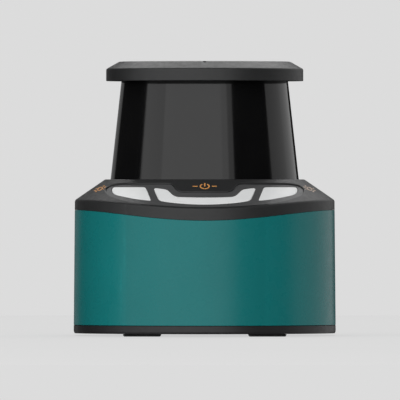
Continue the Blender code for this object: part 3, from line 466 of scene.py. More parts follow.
PANEL_LOOP = smooth_loop(mirrored([
    (-3.0, 44.42), (-6.2, 44.42), (-7.6, 44.55), (-8.6, 45.05), (-9.4, 46.0), (-10.1, 46.7),
    (-11.4, 47.0), (-16.0, 47.0), (-21.0, 47.0), (-26.0, 46.9), (-29.0, 46.35), (-30.4, 45.3), (-30.2, 44.1),
    (-28.6, 43.0), (-25.0, 41.8), (-20.0, 40.75), (-15.0, 40.1), (-9.0, 39.65), (-3.0, 39.5),
]))
CENTER_LOOP = smooth_loop(mirrored([
    (-3.0, 42.78), (-7.4, 42.88), (-8.7, 43.05), (-9.7, 43.5), (-11.0, 44.7), (-11.6, 45.1),
    (-12.7, 45.35), (-14.9, 45.6), (-15.5, 45.45), (-15.55, 45.0), (-14.3, 42.3), (-13.8, 41.8),
    (-12.8, 41.46), (-9.0, 40.95), (-3.0, 40.55),
]))
LEFT_LOOP = smooth_loop(np.array([
    (-24.0, 45.95), (-20.0, 45.95), (-18.6, 45.9), (-18.0, 45.5), (-17.2, 43.7), (-16.6, 42.3),
    (-16.55, 41.87), (-17.1, 41.72), (-20.2, 42.05), (-22.8, 42.48), (-25.5, 43.02), (-27.3, 43.47),
    (-28.3, 44.2), (-28.6, 45.0), (-28.35, 45.65), (-27.6, 45.92),
]) * MM)
RIGHT_LOOP = (LEFT_LOOP * [-1, 1])[::-1]

# The panel's outline as angle and share
PANEL_TRACK = np.column_stack(place_on_slope(PANEL_LOOP[:, 0], PANEL_LOOP[:, 1]))
PANEL_REACH = PANEL_TRACK[:, 0].max() + math.pi / 2


def eased(count):
    """Numbers from 0 to 1 that lie closer together at both ends."""
    return (1 - np.cos(np.linspace(0, math.pi, count))) / 2


def ring_angles():
    """Angles about Z: close together across the front, closest at the ends of the panel."""
    front, reach = -math.pi / 2, PANEL_REACH
    near = front - reach + 2 * reach * eased(FRONT_COLUMNS)
    far = np.linspace(front + reach, front - reach + 2 * math.pi, SIDE_COLUMNS + 1)[1:-1]
    return np.concatenate([[front - reach - END_GAP], near, [front + reach + END_GAP], far])


ANGLES = ring_angles()


def crossings(loop, places, outside):
    """The lowest and highest value where lines at the given places cross a closed loop, else outside."""
    low, high = np.full(len(places), 1e9), np.full(len(places), -1e9)
    for a, b in zip(loop, np.roll(loop, -1, axis=0)):
        first, last = min(a[0], b[0]), max(a[0], b[0])
        crossed = (places >= first) & (places <= last) & (last > first)
        value = a[1] + (places - a[0]) * (b[1] - a[1]) / (b[0] - a[0] if last > first else 1.0)
        low = np.where(crossed, np.minimum(low, value), low)
        high = np.where(crossed, np.maximum(high, value), high)
    missed = high < low
    return np.where(missed, outside, low), np.where(missed, outside, high)


def columns_between(loop, count, row_count):
    """A grid of (x, z) points that fills a loop which each upright line crosses twice."""
    low_x, high_x = loop[:, 0].min(), loop[:, 0].max()
    margin = (high_x - low_x) * 1e-4
    xs = low_x + margin + (high_x - low_x - 2 * margin) * eased(count)
    low_z, high_z = crossings(loop, xs, 0.0)
    z = low_z + (high_z - low_z) * eased(row_count)[:, None]
    return np.broadcast_to(xs, z.shape), z


def slab_on_slope(name, angles, shares, top, bottom):
    """A plate that follows the slope between two heights, from a grid of places on it."""
    upper = slope_point(angles, shares, top).reshape(-1, 3)
    lower = slope_point(angles, shares, bottom).reshape(-1, 3)
    count = len(upper)
    faces = grid_faces(*angles.shape, False, False)
    faces += [tuple(index + count for index in reversed(face)) for face in faces]
    grid = np.arange(count).reshape(angles.shape)
    edge = np.concatenate([grid[0], grid[1:, -1], grid[-1, -2::-1], grid[-2:0:-1, 0]]).tolist()
    for a, b in zip(edge, edge[1:] + edge[:1]):
        faces.append((a, a + count, b + count, b))
    return mesh_object(name, np.vstack([upper, lower]).tolist(), faces)


def rounded_edge(distance, radius):
    """How far a surface falls away near its rim, as a quarter circle."""
    share = 1 - np.clip(distance / radius, 0, 1)
    return radius * (1 - np.sqrt(np.maximum(1 - share**2, 0)))


# ---- Materials ----


def add_node(tree, kind, inputs=None, **settings):
    """A new node; its inputs are plain values or other nodes' outputs."""
    node = tree.nodes.new(kind)
    for key, value in settings.items():
        setattr(node, key, value)
    for key, value in (inputs or {}).items():
        if isinstance(value, bpy.types.NodeSocket):
            tree.links.new(value, node.inputs[key])
        else:
            node.inputs[key].default_value = value
    return node


class Nodes:
    """A node material under construction."""

    def __init__(self, name):
        self.material = bpy.data.materials.new(name)
        self.material.use_nodes = True
        self.tree = self.material.node_tree
        self.shader = self.tree.nodes["Principled BSDF"]
        self.place = self.add("ShaderNodeTexCoord").outputs["Object"]

    def add(self, kind, inputs=None, **settings):
        return add_node(self.tree, kind, inputs, **settings)

    def link(self, source, target):
        """Feeds one of the shader's sockets."""
        self.tree.links.new(source, self.shader.inputs[target])

    def noise(self, scale, detail=3.0, stretch=None):
        """A noise value between 0 and 1, in cycles a metre."""
        source = self.place
        if stretch:
            source = self.add("ShaderNodeMapping", {"Vector": source, "Scale": stretch}).outputs["Vector"]
        inputs = {"Vector": source, "Scale": scale, "Detail": detail}
        return self.add("ShaderNodeTexNoise", inputs).outputs["Fac"]

    def spread(self, value, low, high, start=0.3, end=0.7):
        """Maps a value's middle range on to low and high."""
        limits = {"From Min": start, "From Max": end, "To Min": low, "To Max": high}
        return self.add("ShaderNodeMapRange", {"Value": value, **limits}).outputs["Result"]

    def mix(self, share, first, second):
        """Blends two colours."""
        first, second = ((*color, 1.0) if isinstance(color, tuple) else color for color in (first, second))
        inputs = {"Factor": share, "A": first, "B": second}
        return self.add("ShaderNodeMix", inputs, data_type="RGBA").outputs["Result"]

    def bump(self, heights):
        """Stacks bumps, each a value with its height in metres."""
        below = {}
        for value, distance in heights:
            inputs = {"Strength": 1.0, "Distance": distance, "Height": value, **below}
            below = {"Normal": self.add("ShaderNodeBump", inputs).outputs["Normal"]}
        self.link(below["Normal"], "Normal")

    def color(self, source):
        self.link(source, "Base Color")

    def tone(self, value, color, low, high):
        """A colour that drifts with a value between two shades of itself."""
        return self.mix(self.spread(value, 0.0, 1.0), scaled(color, low), scaled(color, high))

    def shine(self, value, low, high):
        """Roughness that drifts with a value between two limits."""
        self.link(self.spread(value, low, high), "Roughness")

    def set(self, **values):
        """Sets plain numbers on the shader's own sockets."""
        for key, number in values.items():
            self.shader.inputs[key.replace("_", " ")].default_value = number

    def worn_edges(self, color, worn, amount=0.5):
        """Lightens the outer edges, broken up by a noise."""
        edge = self.spread(self.add("ShaderNodeNewGeometry").outputs["Pointiness"], 0.0, amount, 0.53, 0.60)
        patch = self.spread(self.noise(420.0), 0.0, 1.0, 0.35, 0.65)
        both = self.add("ShaderNodeMath", {0: edge, 1: patch}, operation="MULTIPLY")
        return self.mix(both.outputs[0], color, worn)


def scaled(color, factor):
    return tuple(min(1.0, channel * factor) for channel in color)


def moulded_plastic(nodes, color, roughness, grain, specular=0.5):
    """Moulded plastic: spark-eroded grain, faint flow clouds, and edges rubbed a little lighter."""
    body = nodes.tone(nodes.noise(90.0, 4.0), color, 0.94, 1.06)
    nodes.color(nodes.worn_edges(body, scaled(color, 1.9)))
    nodes.shine(nodes.noise(700.0, 4.0), roughness - 0.05, roughness + 0.05)
    nodes.bump([(nodes.noise(5200.0, 2.0), grain), (nodes.noise(1500.0, 2.0), grain)])
    nodes.set(Specular_IOR_Level=specular)


def satin_paint(nodes, color, roughness):
    """Sprayed paint: fine orange peel, a slight drift of tone and small rubbed marks."""
    body = nodes.tone(nodes.noise(35.0, 3.0), color, 0.96, 1.04)
    nodes.color(nodes.worn_edges(body, scaled(color, 1.5), amount=0.35))
    nodes.shine(nodes.noise(240.0, 5.0), roughness - 0.04, roughness + 0.04)
    nodes.bump([(nodes.noise(1700.0, 2.0), 0.0025 * MM), (nodes.noise(6500.0, 1.0), 0.0015 * MM)])
    nodes.set(Specular_IOR_Level=0.235)


def polished_plastic(nodes, color, roughness):
    """Polished dark optics: faint wipe marks in the gloss, hardly any relief."""
    nodes.shine(nodes.noise(160.0, 5.0, (1.0, 1.0, 0.12)), roughness * 0.7, roughness * 1.5)
    nodes.color(nodes.tone(nodes.noise(60.0, 3.0), color, 0.85, 1.15))
    nodes.bump([(nodes.noise(2600.0, 2.0), 0.0006 * MM)])


def diffuser(nodes, color, glow):
    """Milky light guide: matt outside, with a faint even glow of its own that brightens it."""
    nodes.color(nodes.tone(nodes.noise(220.0, 4.0), color, 0.97, 1.02))
    nodes.shine(nodes.noise(900.0, 3.0), 0.42, 0.55)
    nodes.bump([(nodes.noise(4200.0, 2.0), 0.004 * MM)])
    nodes.set(Emission_Strength=glow, Emission_Color=WHITE)


def rubber(nodes, color):
    """Matt rubber with a dusty bloom."""
    dust = nodes.spread(nodes.noise(500.0, 5.0), 0.0, 1.0, 0.45, 0.75)
    nodes.color(nodes.mix(dust, color, scaled(color, 1.8)))
    nodes.shine(nodes.noise(800.0, 3.0), 0.74, 0.9)
    nodes.bump([(nodes.noise(3000.0, 3.0), 0.02 * MM)])


def metal(nodes, color, roughness, brushing=EVEN, relief=0.004 * MM):
    """Machined or cast metal: drawn or cast relief and uneven shine."""
    lines = nodes.noise(900.0, 4.0, brushing)
    nodes.color(nodes.tone(lines, color, 0.9, 1.05))
    nodes.shine(nodes.noise(400.0, 4.0, brushing), roughness * 0.8, roughness * 1.3)
    nodes.bump([(lines, relief)])
    nodes.set(Metallic=1.0)


def clear_glass(nodes, color, roughness):
    """Optical glass with a faint coating."""
    nodes.color(nodes.tone(nodes.noise(120.0), color, 0.97, 1.0))
    nodes.shine(nodes.noise(300.0, 4.0), roughness * 0.6, roughness * 1.6)
    nodes.bump([(nodes.noise(2000.0), 0.0003 * MM)])
    nodes.set(Transmission_Weight=0.85, IOR=1.52)


def solder_mask(nodes, color):
    """Circuit board: tracks showing faintly under a glossy mask."""
    inputs = {"Vector": nodes.place, "Scale": 260.0, "Mortar Size": 0.05}
    tracks = nodes.add("ShaderNodeTexBrick", inputs).outputs["Fac"]
    nodes.color(nodes.mix(tracks, color, scaled(color, 1.7)))
    nodes.shine(nodes.noise(500.0, 4.0), 0.28, 0.45)
    nodes.bump([(tracks, 0.03 * MM), (nodes.noise(3000.0), 0.004 * MM)])


# ---- Outer shells ----


def panel_rows():
    """Rows of the collar's slope between rim and plateau, with the crescent recess let into it."""
    low, high = crossings(PANEL_TRACK, ANGLES, PANEL_TRACK[np.argmax(PANEL_TRACK[:, 0]), 1])
    foot, head = shell_ring(0.0, RIM, RIM_DIP), round_ring(PLATEAU_RADIUS, PLATEAU)
    length = np.linalg.norm(head - foot, axis=1)
    is_open = high > low
    lip, crest = is_open * PANEL_LIP / length, is_open * PANEL_CREST / length
    slant = np.minimum(PANEL_SLANT / length, (high - low) / 2)
    rows = []

    def add(shares, heights):
        rows.append(corner(slope_point(ANGLES, shares, heights)))

    for step in np.linspace(0, 1, 14):
        first = RIM_MARGIN / length
        add(first + (low - lip - first) * step, 0.0)
    for turn in np.linspace(0, math.pi / 2, 6)[1:]:
        add(low - lip * (1 - math.sin(turn)), -lip * length * (1 - math.cos(turn)))
    for step in np.linspace(0, 1, 6):
        share = low + slant + (high - low - 2 * slant) * step
        add(share, np.where(is_open, -panel_depth(share) - PANEL_ROOM, 0.0))
    for turn in np.linspace(math.pi / 2, 0, 5)[:-1]:
        add(high + crest * (1 - math.sin(turn)), -crest * length * (1 - math.cos(turn)))
    for step in np.linspace(0, 1, 8):
        last = 1 - PLATEAU_MARGIN / length
        add(high + crest + (last - high - crest) * step, 0.0)
    return rows


def make_collar():
    """Upper housing: skirt, rounded rim, slope with the crescent recess, plateau and inner ledge."""
    pocket = WINDOW_FOOT + (PLATEAU - LEDGE) * WINDOW_TAPER + WINDOW_ROOM
    corners = [
        corner(shell_ring(0.0, COLLAR_BOTTOM, COLLAR_DIP), SEAM_EDGE, 4, run=4),
        corner(shell_ring(0.0, RIM, RIM_DIP), 0.55, 7),
        *panel_rows(),
        corner(round_ring(PLATEAU_RADIUS, PLATEAU), 0.25, 5),
        corner(round_ring(pocket, PLATEAU), 0.12, 3),
        corner(round_ring(pocket, LEDGE)),
        corner(round_ring(LEDGE_RADIUS, LEDGE)),
        corner(round_ring(LEDGE_RADIUS, LEDGE - LEDGE_THICKNESS)),
        corner(round_ring(pocket + 2.0 * MM, LEDGE - LEDGE_THICKNESS)),
        corner(round_ring(pocket + 3.4 * MM, LEDGE)),
        corner(shell_ring(WALL + 0.4 * MM, RIM - WALL / 2, RIM_DIP)),
        corner(shell_ring(WALL, COLLAR_BOTTOM, COLLAR_DIP)),
    ]
    collar = ring_object("collar_shell", rounded_rows(corners))
    settle(collar, "dark_plastic", "collar")


def settle(piece, slot, *nodes, material=None):
    """Hangs a piece on the still body, hides the CAD nodes it replaces and gives it its finish."""
    if nodes:
        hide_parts(*nodes)
    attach(piece, "frame")
    piece.data.materials.append(MATERIALS[material or slot])


def apply_cutters(target, cutters, operation="DIFFERENCE"):
    """Cuts other bodies out of a piece, or joins them to it, and removes them."""
    for cutter in cutters:
        step = target.modifiers.new("cut", "BOOLEAN")
        step.operation, step.solver, step.object = operation, "EXACT", cutter
    depsgraph = bpy.context.evaluated_depsgraph_get()
    mesh = bpy.data.meshes.new_from_object(target.evaluated_get(depsgraph))
    target.modifiers.clear()
    target.data = mesh
    mesh.shade_smooth()
    mesh.set_sharp_from_angle(angle=math.radians(CUT_SHARP))
    for cutter in cutters:
        bpy.data.objects.remove(cutter)


def moved_in(loop, inset):
    """A loop on the slope with every point moved towards its inside."""
    flat = loop * SLOPE_SCALE
    along = unit(np.roll(flat, -1, axis=0) - np.roll(flat, 1, axis=0))
    turn = np.sign(np.sum(flat[:, 0] * np.roll(flat[:, 1], -1) - np.roll(flat[:, 0], -1) * flat[:, 1]))
    inward = np.column_stack([-along[:, 1], along[:, 0]]) * turn
    return (flat + inward * inset) / SLOPE_SCALE


def plate_on_slope(name, loop, columns, rows, top, bottom, edge=0.0, sunk=False):
    """A plate in the panel's recess, with its top and bottom as heights over the recess's floor.

    The front view shows the loop on the slope or, with sunk, on that floor.
    """
    x, z = columns_between(loop, columns, rows)
    angles, shares = place_on_panel(x, z) if sunk else place_on_slope(x, z)
    fall = np.zeros(x.shape)
    if edge:
        distance = edge_distance(np.column_stack([x.ravel(), z.ravel()]), loop)
        fall = rounded_edge(distance.reshape(x.shape), edge)
    floor = -panel_depth(shares)
    return slab_on_slope(name, angles, shares, floor + top - fall, floor + bottom)


def make_indicators():
    """Crescent insert with a well for each light window, and the three milky windows."""
    lights = {"left": LEFT_LOOP, "center": CENTER_LOOP, "right": RIGHT_LOOP}
    panel_loop = moved_in(PANEL_LOOP, PANEL_GAP)
    panel = plate_on_slope("indicator_panel", panel_loop, 300, 26, 0.0, PANEL_UNDERSIDE, edge=PANEL_EDGE)
    wells = []
    for side, loop in lights.items():
        outline, bottom = moved_in(loop, -WELL_MARGIN), PANEL_UNDERSIDE - 1.0 * MM
        wells.append(plate_on_slope(side + "_well", outline, 120, 12, 1.0 * MM, bottom, sunk=True))
    apply_cutters(panel, wells)
    # The bezel gets a lighter copy of the dark plastic: painted light, standing for the light its shallower
    # floor catches
    settle(panel, "dark_plastic", "indicator_bezel", material="panel_plastic")
    for side, loop in lights.items():
        name, outline = "light_window_" + side, moved_in(loop, LENS_MARGIN)
        lens = plate_on_slope(name + "_lens", outline, 160, 30, LENS_TOP, PANEL_UNDERSIDE, LENS_RADIUS, True)
        settle(lens, "white_diffuser", name)


def make_housing():
    """Teal sleeve with softened ends and the connector pocket in its rear."""
    top, step, sill = COLLAR_BOTTOM - SEAM_GAP, COLLAR_BOTTOM - 1.2 * MM, HOUSING_BOTTOM + 0.9 * MM
    corners = [
        corner(shell_ring(0.0, HOUSING_BOTTOM), SEAM_EDGE, 4, run=6),
        corner(shell_ring(0.0, top, COLLAR_DIP), SEAM_EDGE, 4),
        corner(shell_ring(REBATE, top, COLLAR_DIP)),
        corner(shell_ring(REBATE, step, COLLAR_DIP)),
        corner(shell_ring(WALL, step, COLLAR_DIP)),
        corner(shell_ring(WALL, sill)),
        corner(shell_ring(REBATE, sill)),
        corner(shell_ring(REBATE, HOUSING_BOTTOM)),
    ]
    housing = ring_object("housing_shell", rounded_rows(corners))
    wall_low = (-POCKET_HALF_WIDTH - WALL, POCKET_FLOOR - WALL, POCKET_LOW - 0.8 * MM)
    wall_high = (POCKET_HALF_WIDTH + WALL, REAR_REACH - 1.0 * MM, POCKET_HIGH + WALL)
    apply_cutters(housing, [rounded_bar("pocket_walls", wall_low, wall_high, 3.0 * MM)], "UNION")
    hollow_low = (-POCKET_HALF_WIDTH, POCKET_FLOOR, POCKET_LOW)
    hollow_high = (POCKET_HALF_WIDTH, REAR_REACH + 10 * MM, POCKET_HIGH)
    cutters = [rounded_bar("pocket_hollow", hollow_low, hollow_high, 2.4 * MM)]
    cutters += [rear_hole(x, CONNECTOR_Z, CONNECTOR_HOLE) for x in (-CONNECTOR_X, CONNECTOR_X)]
    cutters.append(rear_hole(0.0, VENT_Z, VENT_HOLE))
    apply_cutters(housing, cutters)
    settle(housing, "teal_paint", "housing")


def rounded_bar(name, low, high, radius):
    """A bar along Y with a rounded rectangular section."""
    ring = rounded_rectangle((low[0], low[2]), (high[0], high[2]), radius, 0.0, BAR_STEPS)
    rows = [[(x, y, z) for x, z in ring] for y in (low[1], high[1])]
    return ring_object(name, rows, capped=True)


def facing_back(x, z):
    """A place on the rear wall with its local Z pointing backwards."""
    return Matrix.Translation((x, 0, z)) @ Matrix.Rotation(-math.pi / 2, 4, "X")


def rear_hole(x, z, radius):
    """A round cutter through the rear wall."""
    return rod("rear_hole", radius, POCKET_FLOOR - 5 * MM, POCKET_FLOOR + 5 * MM, facing_back(x, z))


def upright_rod(name, place, radius, low, high, steps=ROD_STEPS):
    """A rod along Z."""
    return rod(name, radius, low, high, Matrix.Translation(place), steps)


def four_places(place):
    """Where four like parts stand about the scan axis."""
    x, y = place
    return [(-x, -y, 0), (x, -y, 0), (x, y, 0), (-x, y, 0)]


def make_base_plate():
    """Base plate with a chamfered edge, a locating lip, and recesses for its screws."""
    (chamfer, chamfer_height), (lip_width, lip_height) = BASE_CHAMFER, BASE_LIP
    lip, lip_top = WALL + 0.3 * MM, BASE_TOP + lip_height
    corners = [
        corner(shell_ring(chamfer, PLATE_LOW.z), 0.1, 3),
        corner(shell_ring(0.0, PLATE_LOW.z + chamfer_height), 0.3, 5),
        corner(shell_ring(0.0, BASE_TOP), SEAM_EDGE, 4),
        corner(shell_ring(lip, BASE_TOP)),
        corner(shell_ring(lip, lip_top), 0.2, 3),
        corner(shell_ring(lip + lip_width, lip_top), 0.2, 3),
        corner(shell_ring(lip + lip_width, BASE_TOP)),
    ]
    plate = ring_object("base_plate_body", rounded_rows(corners, closed=False), capped=True)
    inserts, screws = four_places(INSERT_PLACE), four_places(POST_PLACE)
    bosses = [upright_rod("boss", place, BOSS_RADIUS, *BOSS_LEVELS) for place in inserts]
    apply_cutters(plate, bosses, "UNION")
    cutters = [upright_rod("insert_hole", place, INSERT_HOLE, 0.0, DRILL_TOP) for place in inserts]
    for place in screws:
        cutters.append(upright_rod("screw_recess", place, SCREW_RECESS[0], 0.0, SCREW_RECESS[1]))
        cutters.append(upright_rod("screw_hole", place, SCREW_HOLE, 0.0, DRILL_TOP))
    apply_cutters(plate, cutters)
    settle(plate, "black_plastic", "base_plate")


def make_feet():
    """Four rounded rubber pads with two grip grooves each."""
    for name in ("foot_front_left", "foot_front_right", "foot_rear_left", "foot_rear_right"):
        low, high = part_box(name)
        rings = [(inset * MM, level * MM) for inset, level in PAD_RINGS] + [(PAD_TOP_INSET, high.z)]
        rows = []
        for inset, level in rings:
            outline = rounded_rectangle(low[:2], high[:2], PAD_BEND, inset, PAD_STEPS)
            rows.append([(x, y, level) for x, y in outline])
        pad = ring_object(name + "_pad", rows, capped=True, sharp=PAD_SHARP)
        start, end = low.y + GROOVE_MARGIN, high.y - GROOVE_MARGIN
        grooves = []
        for share in GROOVE_SHARES:
            place = facing_back(low.x + (high.x - low.x) * share, GROOVE_LEVEL)
            grooves.append(rod("groove", GROOVE_RADIUS, start, end, place, 16))
        apply_cutters(pad, grooves)
        settle(pad, "rubber", name)


def make_cap():
    """Round lid: flat crown, shallow cone with its dimple, softened rim and the window's groove."""
    low, high = CAP_LOW.z, CAP_HIGH.z
    top, lip = WINDOW_HIGH.z + 0.9 * MM, low + 0.45 * MM
    inner, outer = WINDOW_HEAD - CAP_GROOVE, WINDOW_HEAD + WINDOW_ROOM
    profile = [
        (CAP_CAVITY / 2, CAP_CAVITY_TOP), (CAP_CAVITY, CAP_CAVITY_TOP), (CAP_CAVITY, lip),
        (inner, lip), (inner, top), (outer, top), (outer, low, 0.1, 3),
        (CAP_RADIUS, low, 0.18, 5), (CAP_RADIUS, CAP_SHOULDER, 0.40, 8),
        (CAP_CROWN, high, 0.4, 7), (CAP_CROWN / 2, high),
    ]
    cap = turned("cap_shell", profile, steps=WIDE_STEPS, capped=True)
    slope = math.atan2(high - CAP_SHOULDER, CAP_RADIUS - CAP_CROWN)
    reach = Vector((0, -DIMPLE_REACH, CAP_SHOULDER + (CAP_RADIUS - DIMPLE_REACH) * math.tan(slope)))
    place = Matrix.Translation(reach) @ Matrix.Rotation(slope, 4, "X")
    dimple_profile = [(DIMPLE_RADIUS * 0.8, -0.35 * MM, 0.1, 4), (DIMPLE_RADIUS, 0.4 * MM)]
    dimple = turned("dimple", dimple_profile, place, 32, capped=True)
    apply_cutters(cap, [dimple])
    settle(cap, "dark_plastic", "top_cap", material="cap_plastic")


def make_window():
    """Tapered ring of polished dark plastic."""
    foot = WINDOW_FOOT - (WINDOW_LOW.z - PLATEAU) * WINDOW_TAPER
    head = WINDOW_FOOT - (WINDOW_HIGH.z - PLATEAU) * WINDOW_TAPER
    section = [
        (foot, WINDOW_LOW.z), (head, WINDOW_HIGH.z),
        (head - WINDOW_WALL, WINDOW_HIGH.z), (foot - WINDOW_WALL, WINDOW_LOW.z),
    ]
    profile = [(radius, level, 0.15, 3) for radius, level in section]
    window = turned("window_ring", profile, steps=WIDE_STEPS)
    settle(window, "window_plastic", "scan_window")


# ---- Rear connectors and underside ----


def make_connector(name, x, contacts):
    """A round panel connector: shell with thread ridges, hexagonal nut, insert with gold pins."""
    low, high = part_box(name + "_shell")
    start, tip, radius = low.y, high.y, high.x - x
    bore, nose = radius - 0.9 * MM, radius - 0.4 * MM
    profile = [(radius, start, 0.2, 3), (radius, POCKET_FLOOR + 3.0 * MM)]
    level = POCKET_FLOOR + 3.4 * MM
    while level < tip - 1.2 * MM:
        profile.append((radius - THREAD_DEPTH, level, 0.08, 3))
        profile.append((radius, level + THREAD_PITCH / 2, 0.08, 3))
        level += THREAD_PITCH
    profile += [
        (nose, tip - 0.6 * MM, 0.1, 3), (nose, tip, 0.2, 4), (bore, tip, 0.2, 4), (bore, start),
    ]
    shell = turned(name + "_shell_threaded", profile, facing_back(x, CONNECTOR_Z), FINE_STEPS)
    settle(shell, "nickel_brass", name + "_shell")
    make_nut(name, facing_back(x, CONNECTOR_Z))
    make_insert(name, x, contacts, bore)


def make_nut(name, place):
    """Hexagonal nut, chamfered on its outer face."""
    low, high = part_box(name + "_nut")
    across, thickness = (high.x - low.x) / 2, high.y - low.y
    nut = rod(name + "_nut_hex", across, low.y, high.y, place, 6)
    flat, room = across * math.cos(math.pi / 6), 1 * MM
    cone = [
        (across + room, low.y - room), (across + room, low.y + thickness * 0.75),
        (flat - 0.2 * MM, high.y + 0.25 * MM),
    ]
    apply_cutters(nut, [turned("nut_chamfer", cone, place, FINE_STEPS, capped=True)], "INTERSECT")
    apply_cutters(nut, [rod("nut_bore", NUT_BORE, 20 * MM, 60 * MM, place, BORE_STEPS)])
    settle(nut, "nickel_brass", name + "_nut")


def make_insert(name, x, contacts, bore):
    """Contact carrier with a key, and gold pins with rounded tips."""
    low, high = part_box(name + "_insert")
    face, rim, land = high.y - PIN_REACH, bore - 0.1 * MM, bore - 0.7 * MM
    profile = [
        (rim, low.y, 0.1, 3), (rim, face, 0.1, 3),
        (land, face, 0.05, 2), (land, face + 0.35 * MM, 0.1, 3),
    ]
    carrier = turned(name + "_carrier", profile, facing_back(x, CONNECTOR_Z), BORE_STEPS, capped=True)
    key_low = (x - 0.6 * MM, face - 4 * MM, CONNECTOR_Z + bore - 1.1 * MM)
    key_high = (x + 0.6 * MM, face + 3.2 * MM, CONNECTOR_Z + bore - 0.05 * MM)
    apply_cutters(carrier, [rounded_bar("key", key_low, key_high, 0.25 * MM)], "UNION")
    settle(carrier, "black_plastic", name + "_insert")
    pin_profile = [(PIN_RADIUS, face - 1 * MM), (PIN_RADIUS, high.y, 0.4, 5)]
    for i in range(contacts):
        angle = 2 * math.pi * (i + 0.5) / contacts
        place = facing_back(x + PIN_CIRCLE * math.cos(angle), CONNECTOR_Z + PIN_CIRCLE * math.sin(angle))
        pin = turned("%s_pin_%d" % (name, i + 1), pin_profile, place, 24, capped=True)
        settle(pin, "brass", material="gold")


def make_vent_plug():
    """Vent plug: a domed, slotted head on a stem."""
    low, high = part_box("vent_plug")
    head, seat = high.x, POCKET_FLOOR + 0.1 * MM
    profile = [
        (VENT_STEM, low.y, 0.2, 3), (VENT_STEM, seat), (head, seat, 0.1, 3),
        (head, high.y, 0.7, 7),
    ]
    plug = turned("vent_plug_head", profile, facing_back(0.0, VENT_Z), FINE_STEPS, capped=True)
    slots = []
    for offset in VENT_SLOTS:
        slot_low = (-2.0 * MM, high.y - 0.7 * MM, VENT_Z + offset - 0.25 * MM)
        slot_high = (2.0 * MM, high.y + 1 * MM, VENT_Z + offset + 0.25 * MM)
        slots.append(rounded_bar("vent_slot", slot_low, slot_high, 0.24 * MM))
    apply_cutters(plug, slots)
    settle(plug, "black_plastic", "vent_plug")


def make_fasteners():
    """Socket screws with softened heads, and threaded inserts, all in the underside."""
    for number, place in enumerate(four_places(POST_PLACE), start=1):
        low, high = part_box("base_screw_%d" % number)
        head = (high.x - low.x) / 2
        profile = [
            (head, low.z, 0.3, 5), (head, SCREW_HEAD_TOP, 0.1, 3),
            (SCREW_SHANK, SCREW_HEAD_TOP), (SCREW_SHANK, high.z, 0.3, 3),
        ]
        stand = Matrix.Translation(place)
        screw = turned("base_screw_%d_head" % number, profile, stand, ROD_STEPS, capped=True)
        apply_cutters(screw, [upright_rod("socket", place, SOCKET[0], 0.0, SOCKET[1], 6)])
        settle(screw, "steel", "base_screw_%d" % number)
    groove, ridge = INSERT_THREADS
    for number, place in enumerate(four_places(INSERT_PLACE), start=1):
        low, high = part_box("mount_insert_%d" % number)
        outer = (high.x - low.x) / 2
        profile = [(outer, low.z, 0.1, 3), (outer, high.z, 0.1, 3), (2.3 * MM, high.z)]
        level = high.z - INSERT_PITCH / 2
        while level > low.z + INSERT_PITCH:
            profile.append((groove, level, 0.05, 3))
            profile.append((ridge, level - INSERT_PITCH / 2, 0.05, 3))
            level -= INSERT_PITCH
        profile.append((2.5 * MM, low.z, 0.05, 3))
        insert = turned("mount_insert_%d_bush" % number, profile, Matrix.Translation(place), BORE_STEPS)
        settle(insert, "brass", "mount_insert_%d" % number)


# ---- Printed marks ----


def print_stroke(name, path, width=MARK_WIDTH, ink="print_ink"):
    """A thin printed line along a front-view path on the slope, in metres."""
    ahead, behind = np.vstack([path[1:], path[-1:]]), np.vstack([path[:1], path[:-1]])
    along = unit((ahead - behind) * SLOPE_SCALE)
    across = np.column_stack([-along[:, 1], along[:, 0]]) / SLOPE_SCALE * width / 2
    x = path[:, 0] + np.outer((-1, 0, 1), across[:, 0])
    z = path[:, 1] + np.outer((-1, 0, 1), across[:, 1])
    angles, shares = place_on_slope(x, z)
    mark = slab_on_slope(name, angles, shares, PRINT_HIGH, PRINT_LOW)
    settle(mark, "dark_plastic", material=ink)


def line(start, end, steps=10):
    """Points in a straight line between two places in millimetres."""
    share = np.linspace(0, 1, steps)[:, None]
    return (np.array(start) * (1 - share) + np.array(end) * share) * MM


def arc(level, radius, first, last, steps=28):
    """Points along an arc on the slope, in millimetres and degrees."""
    angles = np.radians(np.linspace(first, last, steps))
    return np.column_stack([radius * np.cos(angles), level + radius * np.sin(angles) / SLOPE_STRETCH]) * MM


def make_marks():
    """Generic pictograms: a power symbol between two bars, and a lamp symbol at each end."""
    for side, name in ((-1, "left"), (1, "right")):
        print_stroke("mark_bar_" + name, line((side * 2.2, MARK_Z), (side * 3.7, MARK_Z)))
    print_stroke("mark_power_ring", arc(MARK_Z, 1.35, 125, 415))
    print_stroke("mark_power_bar", line((0.0, MARK_Z), (0.0, MARK_Z + 0.95)))
    for side, prefix, ink in ((-1, "mark_left_", "print_ink"), (1, "mark_right_", "pale_ink")):
        print_stroke(prefix + "ring", beside(side, arc(0.0, 0.75, 5, 355)), SIDE_MARK_WIDTH, ink)
        for i, (start, end) in enumerate(SIDE_RAYS, start=1):
            print_stroke("%sray_%d" % (prefix, i), beside(side, line(start, end)), SIDE_MARK_WIDTH, ink)


def beside(side, points):
    """Moves a small drawing to one end of the slope and tilts it to run along it."""
    x = SIDE_MARK_X + points[:, 0]
    z = SIDE_MARK_Z - points[:, 0] * SIDE_MARK_FALL + points[:, 1]
    return np.column_stack([side * x, z])


# ---- Finishes ----


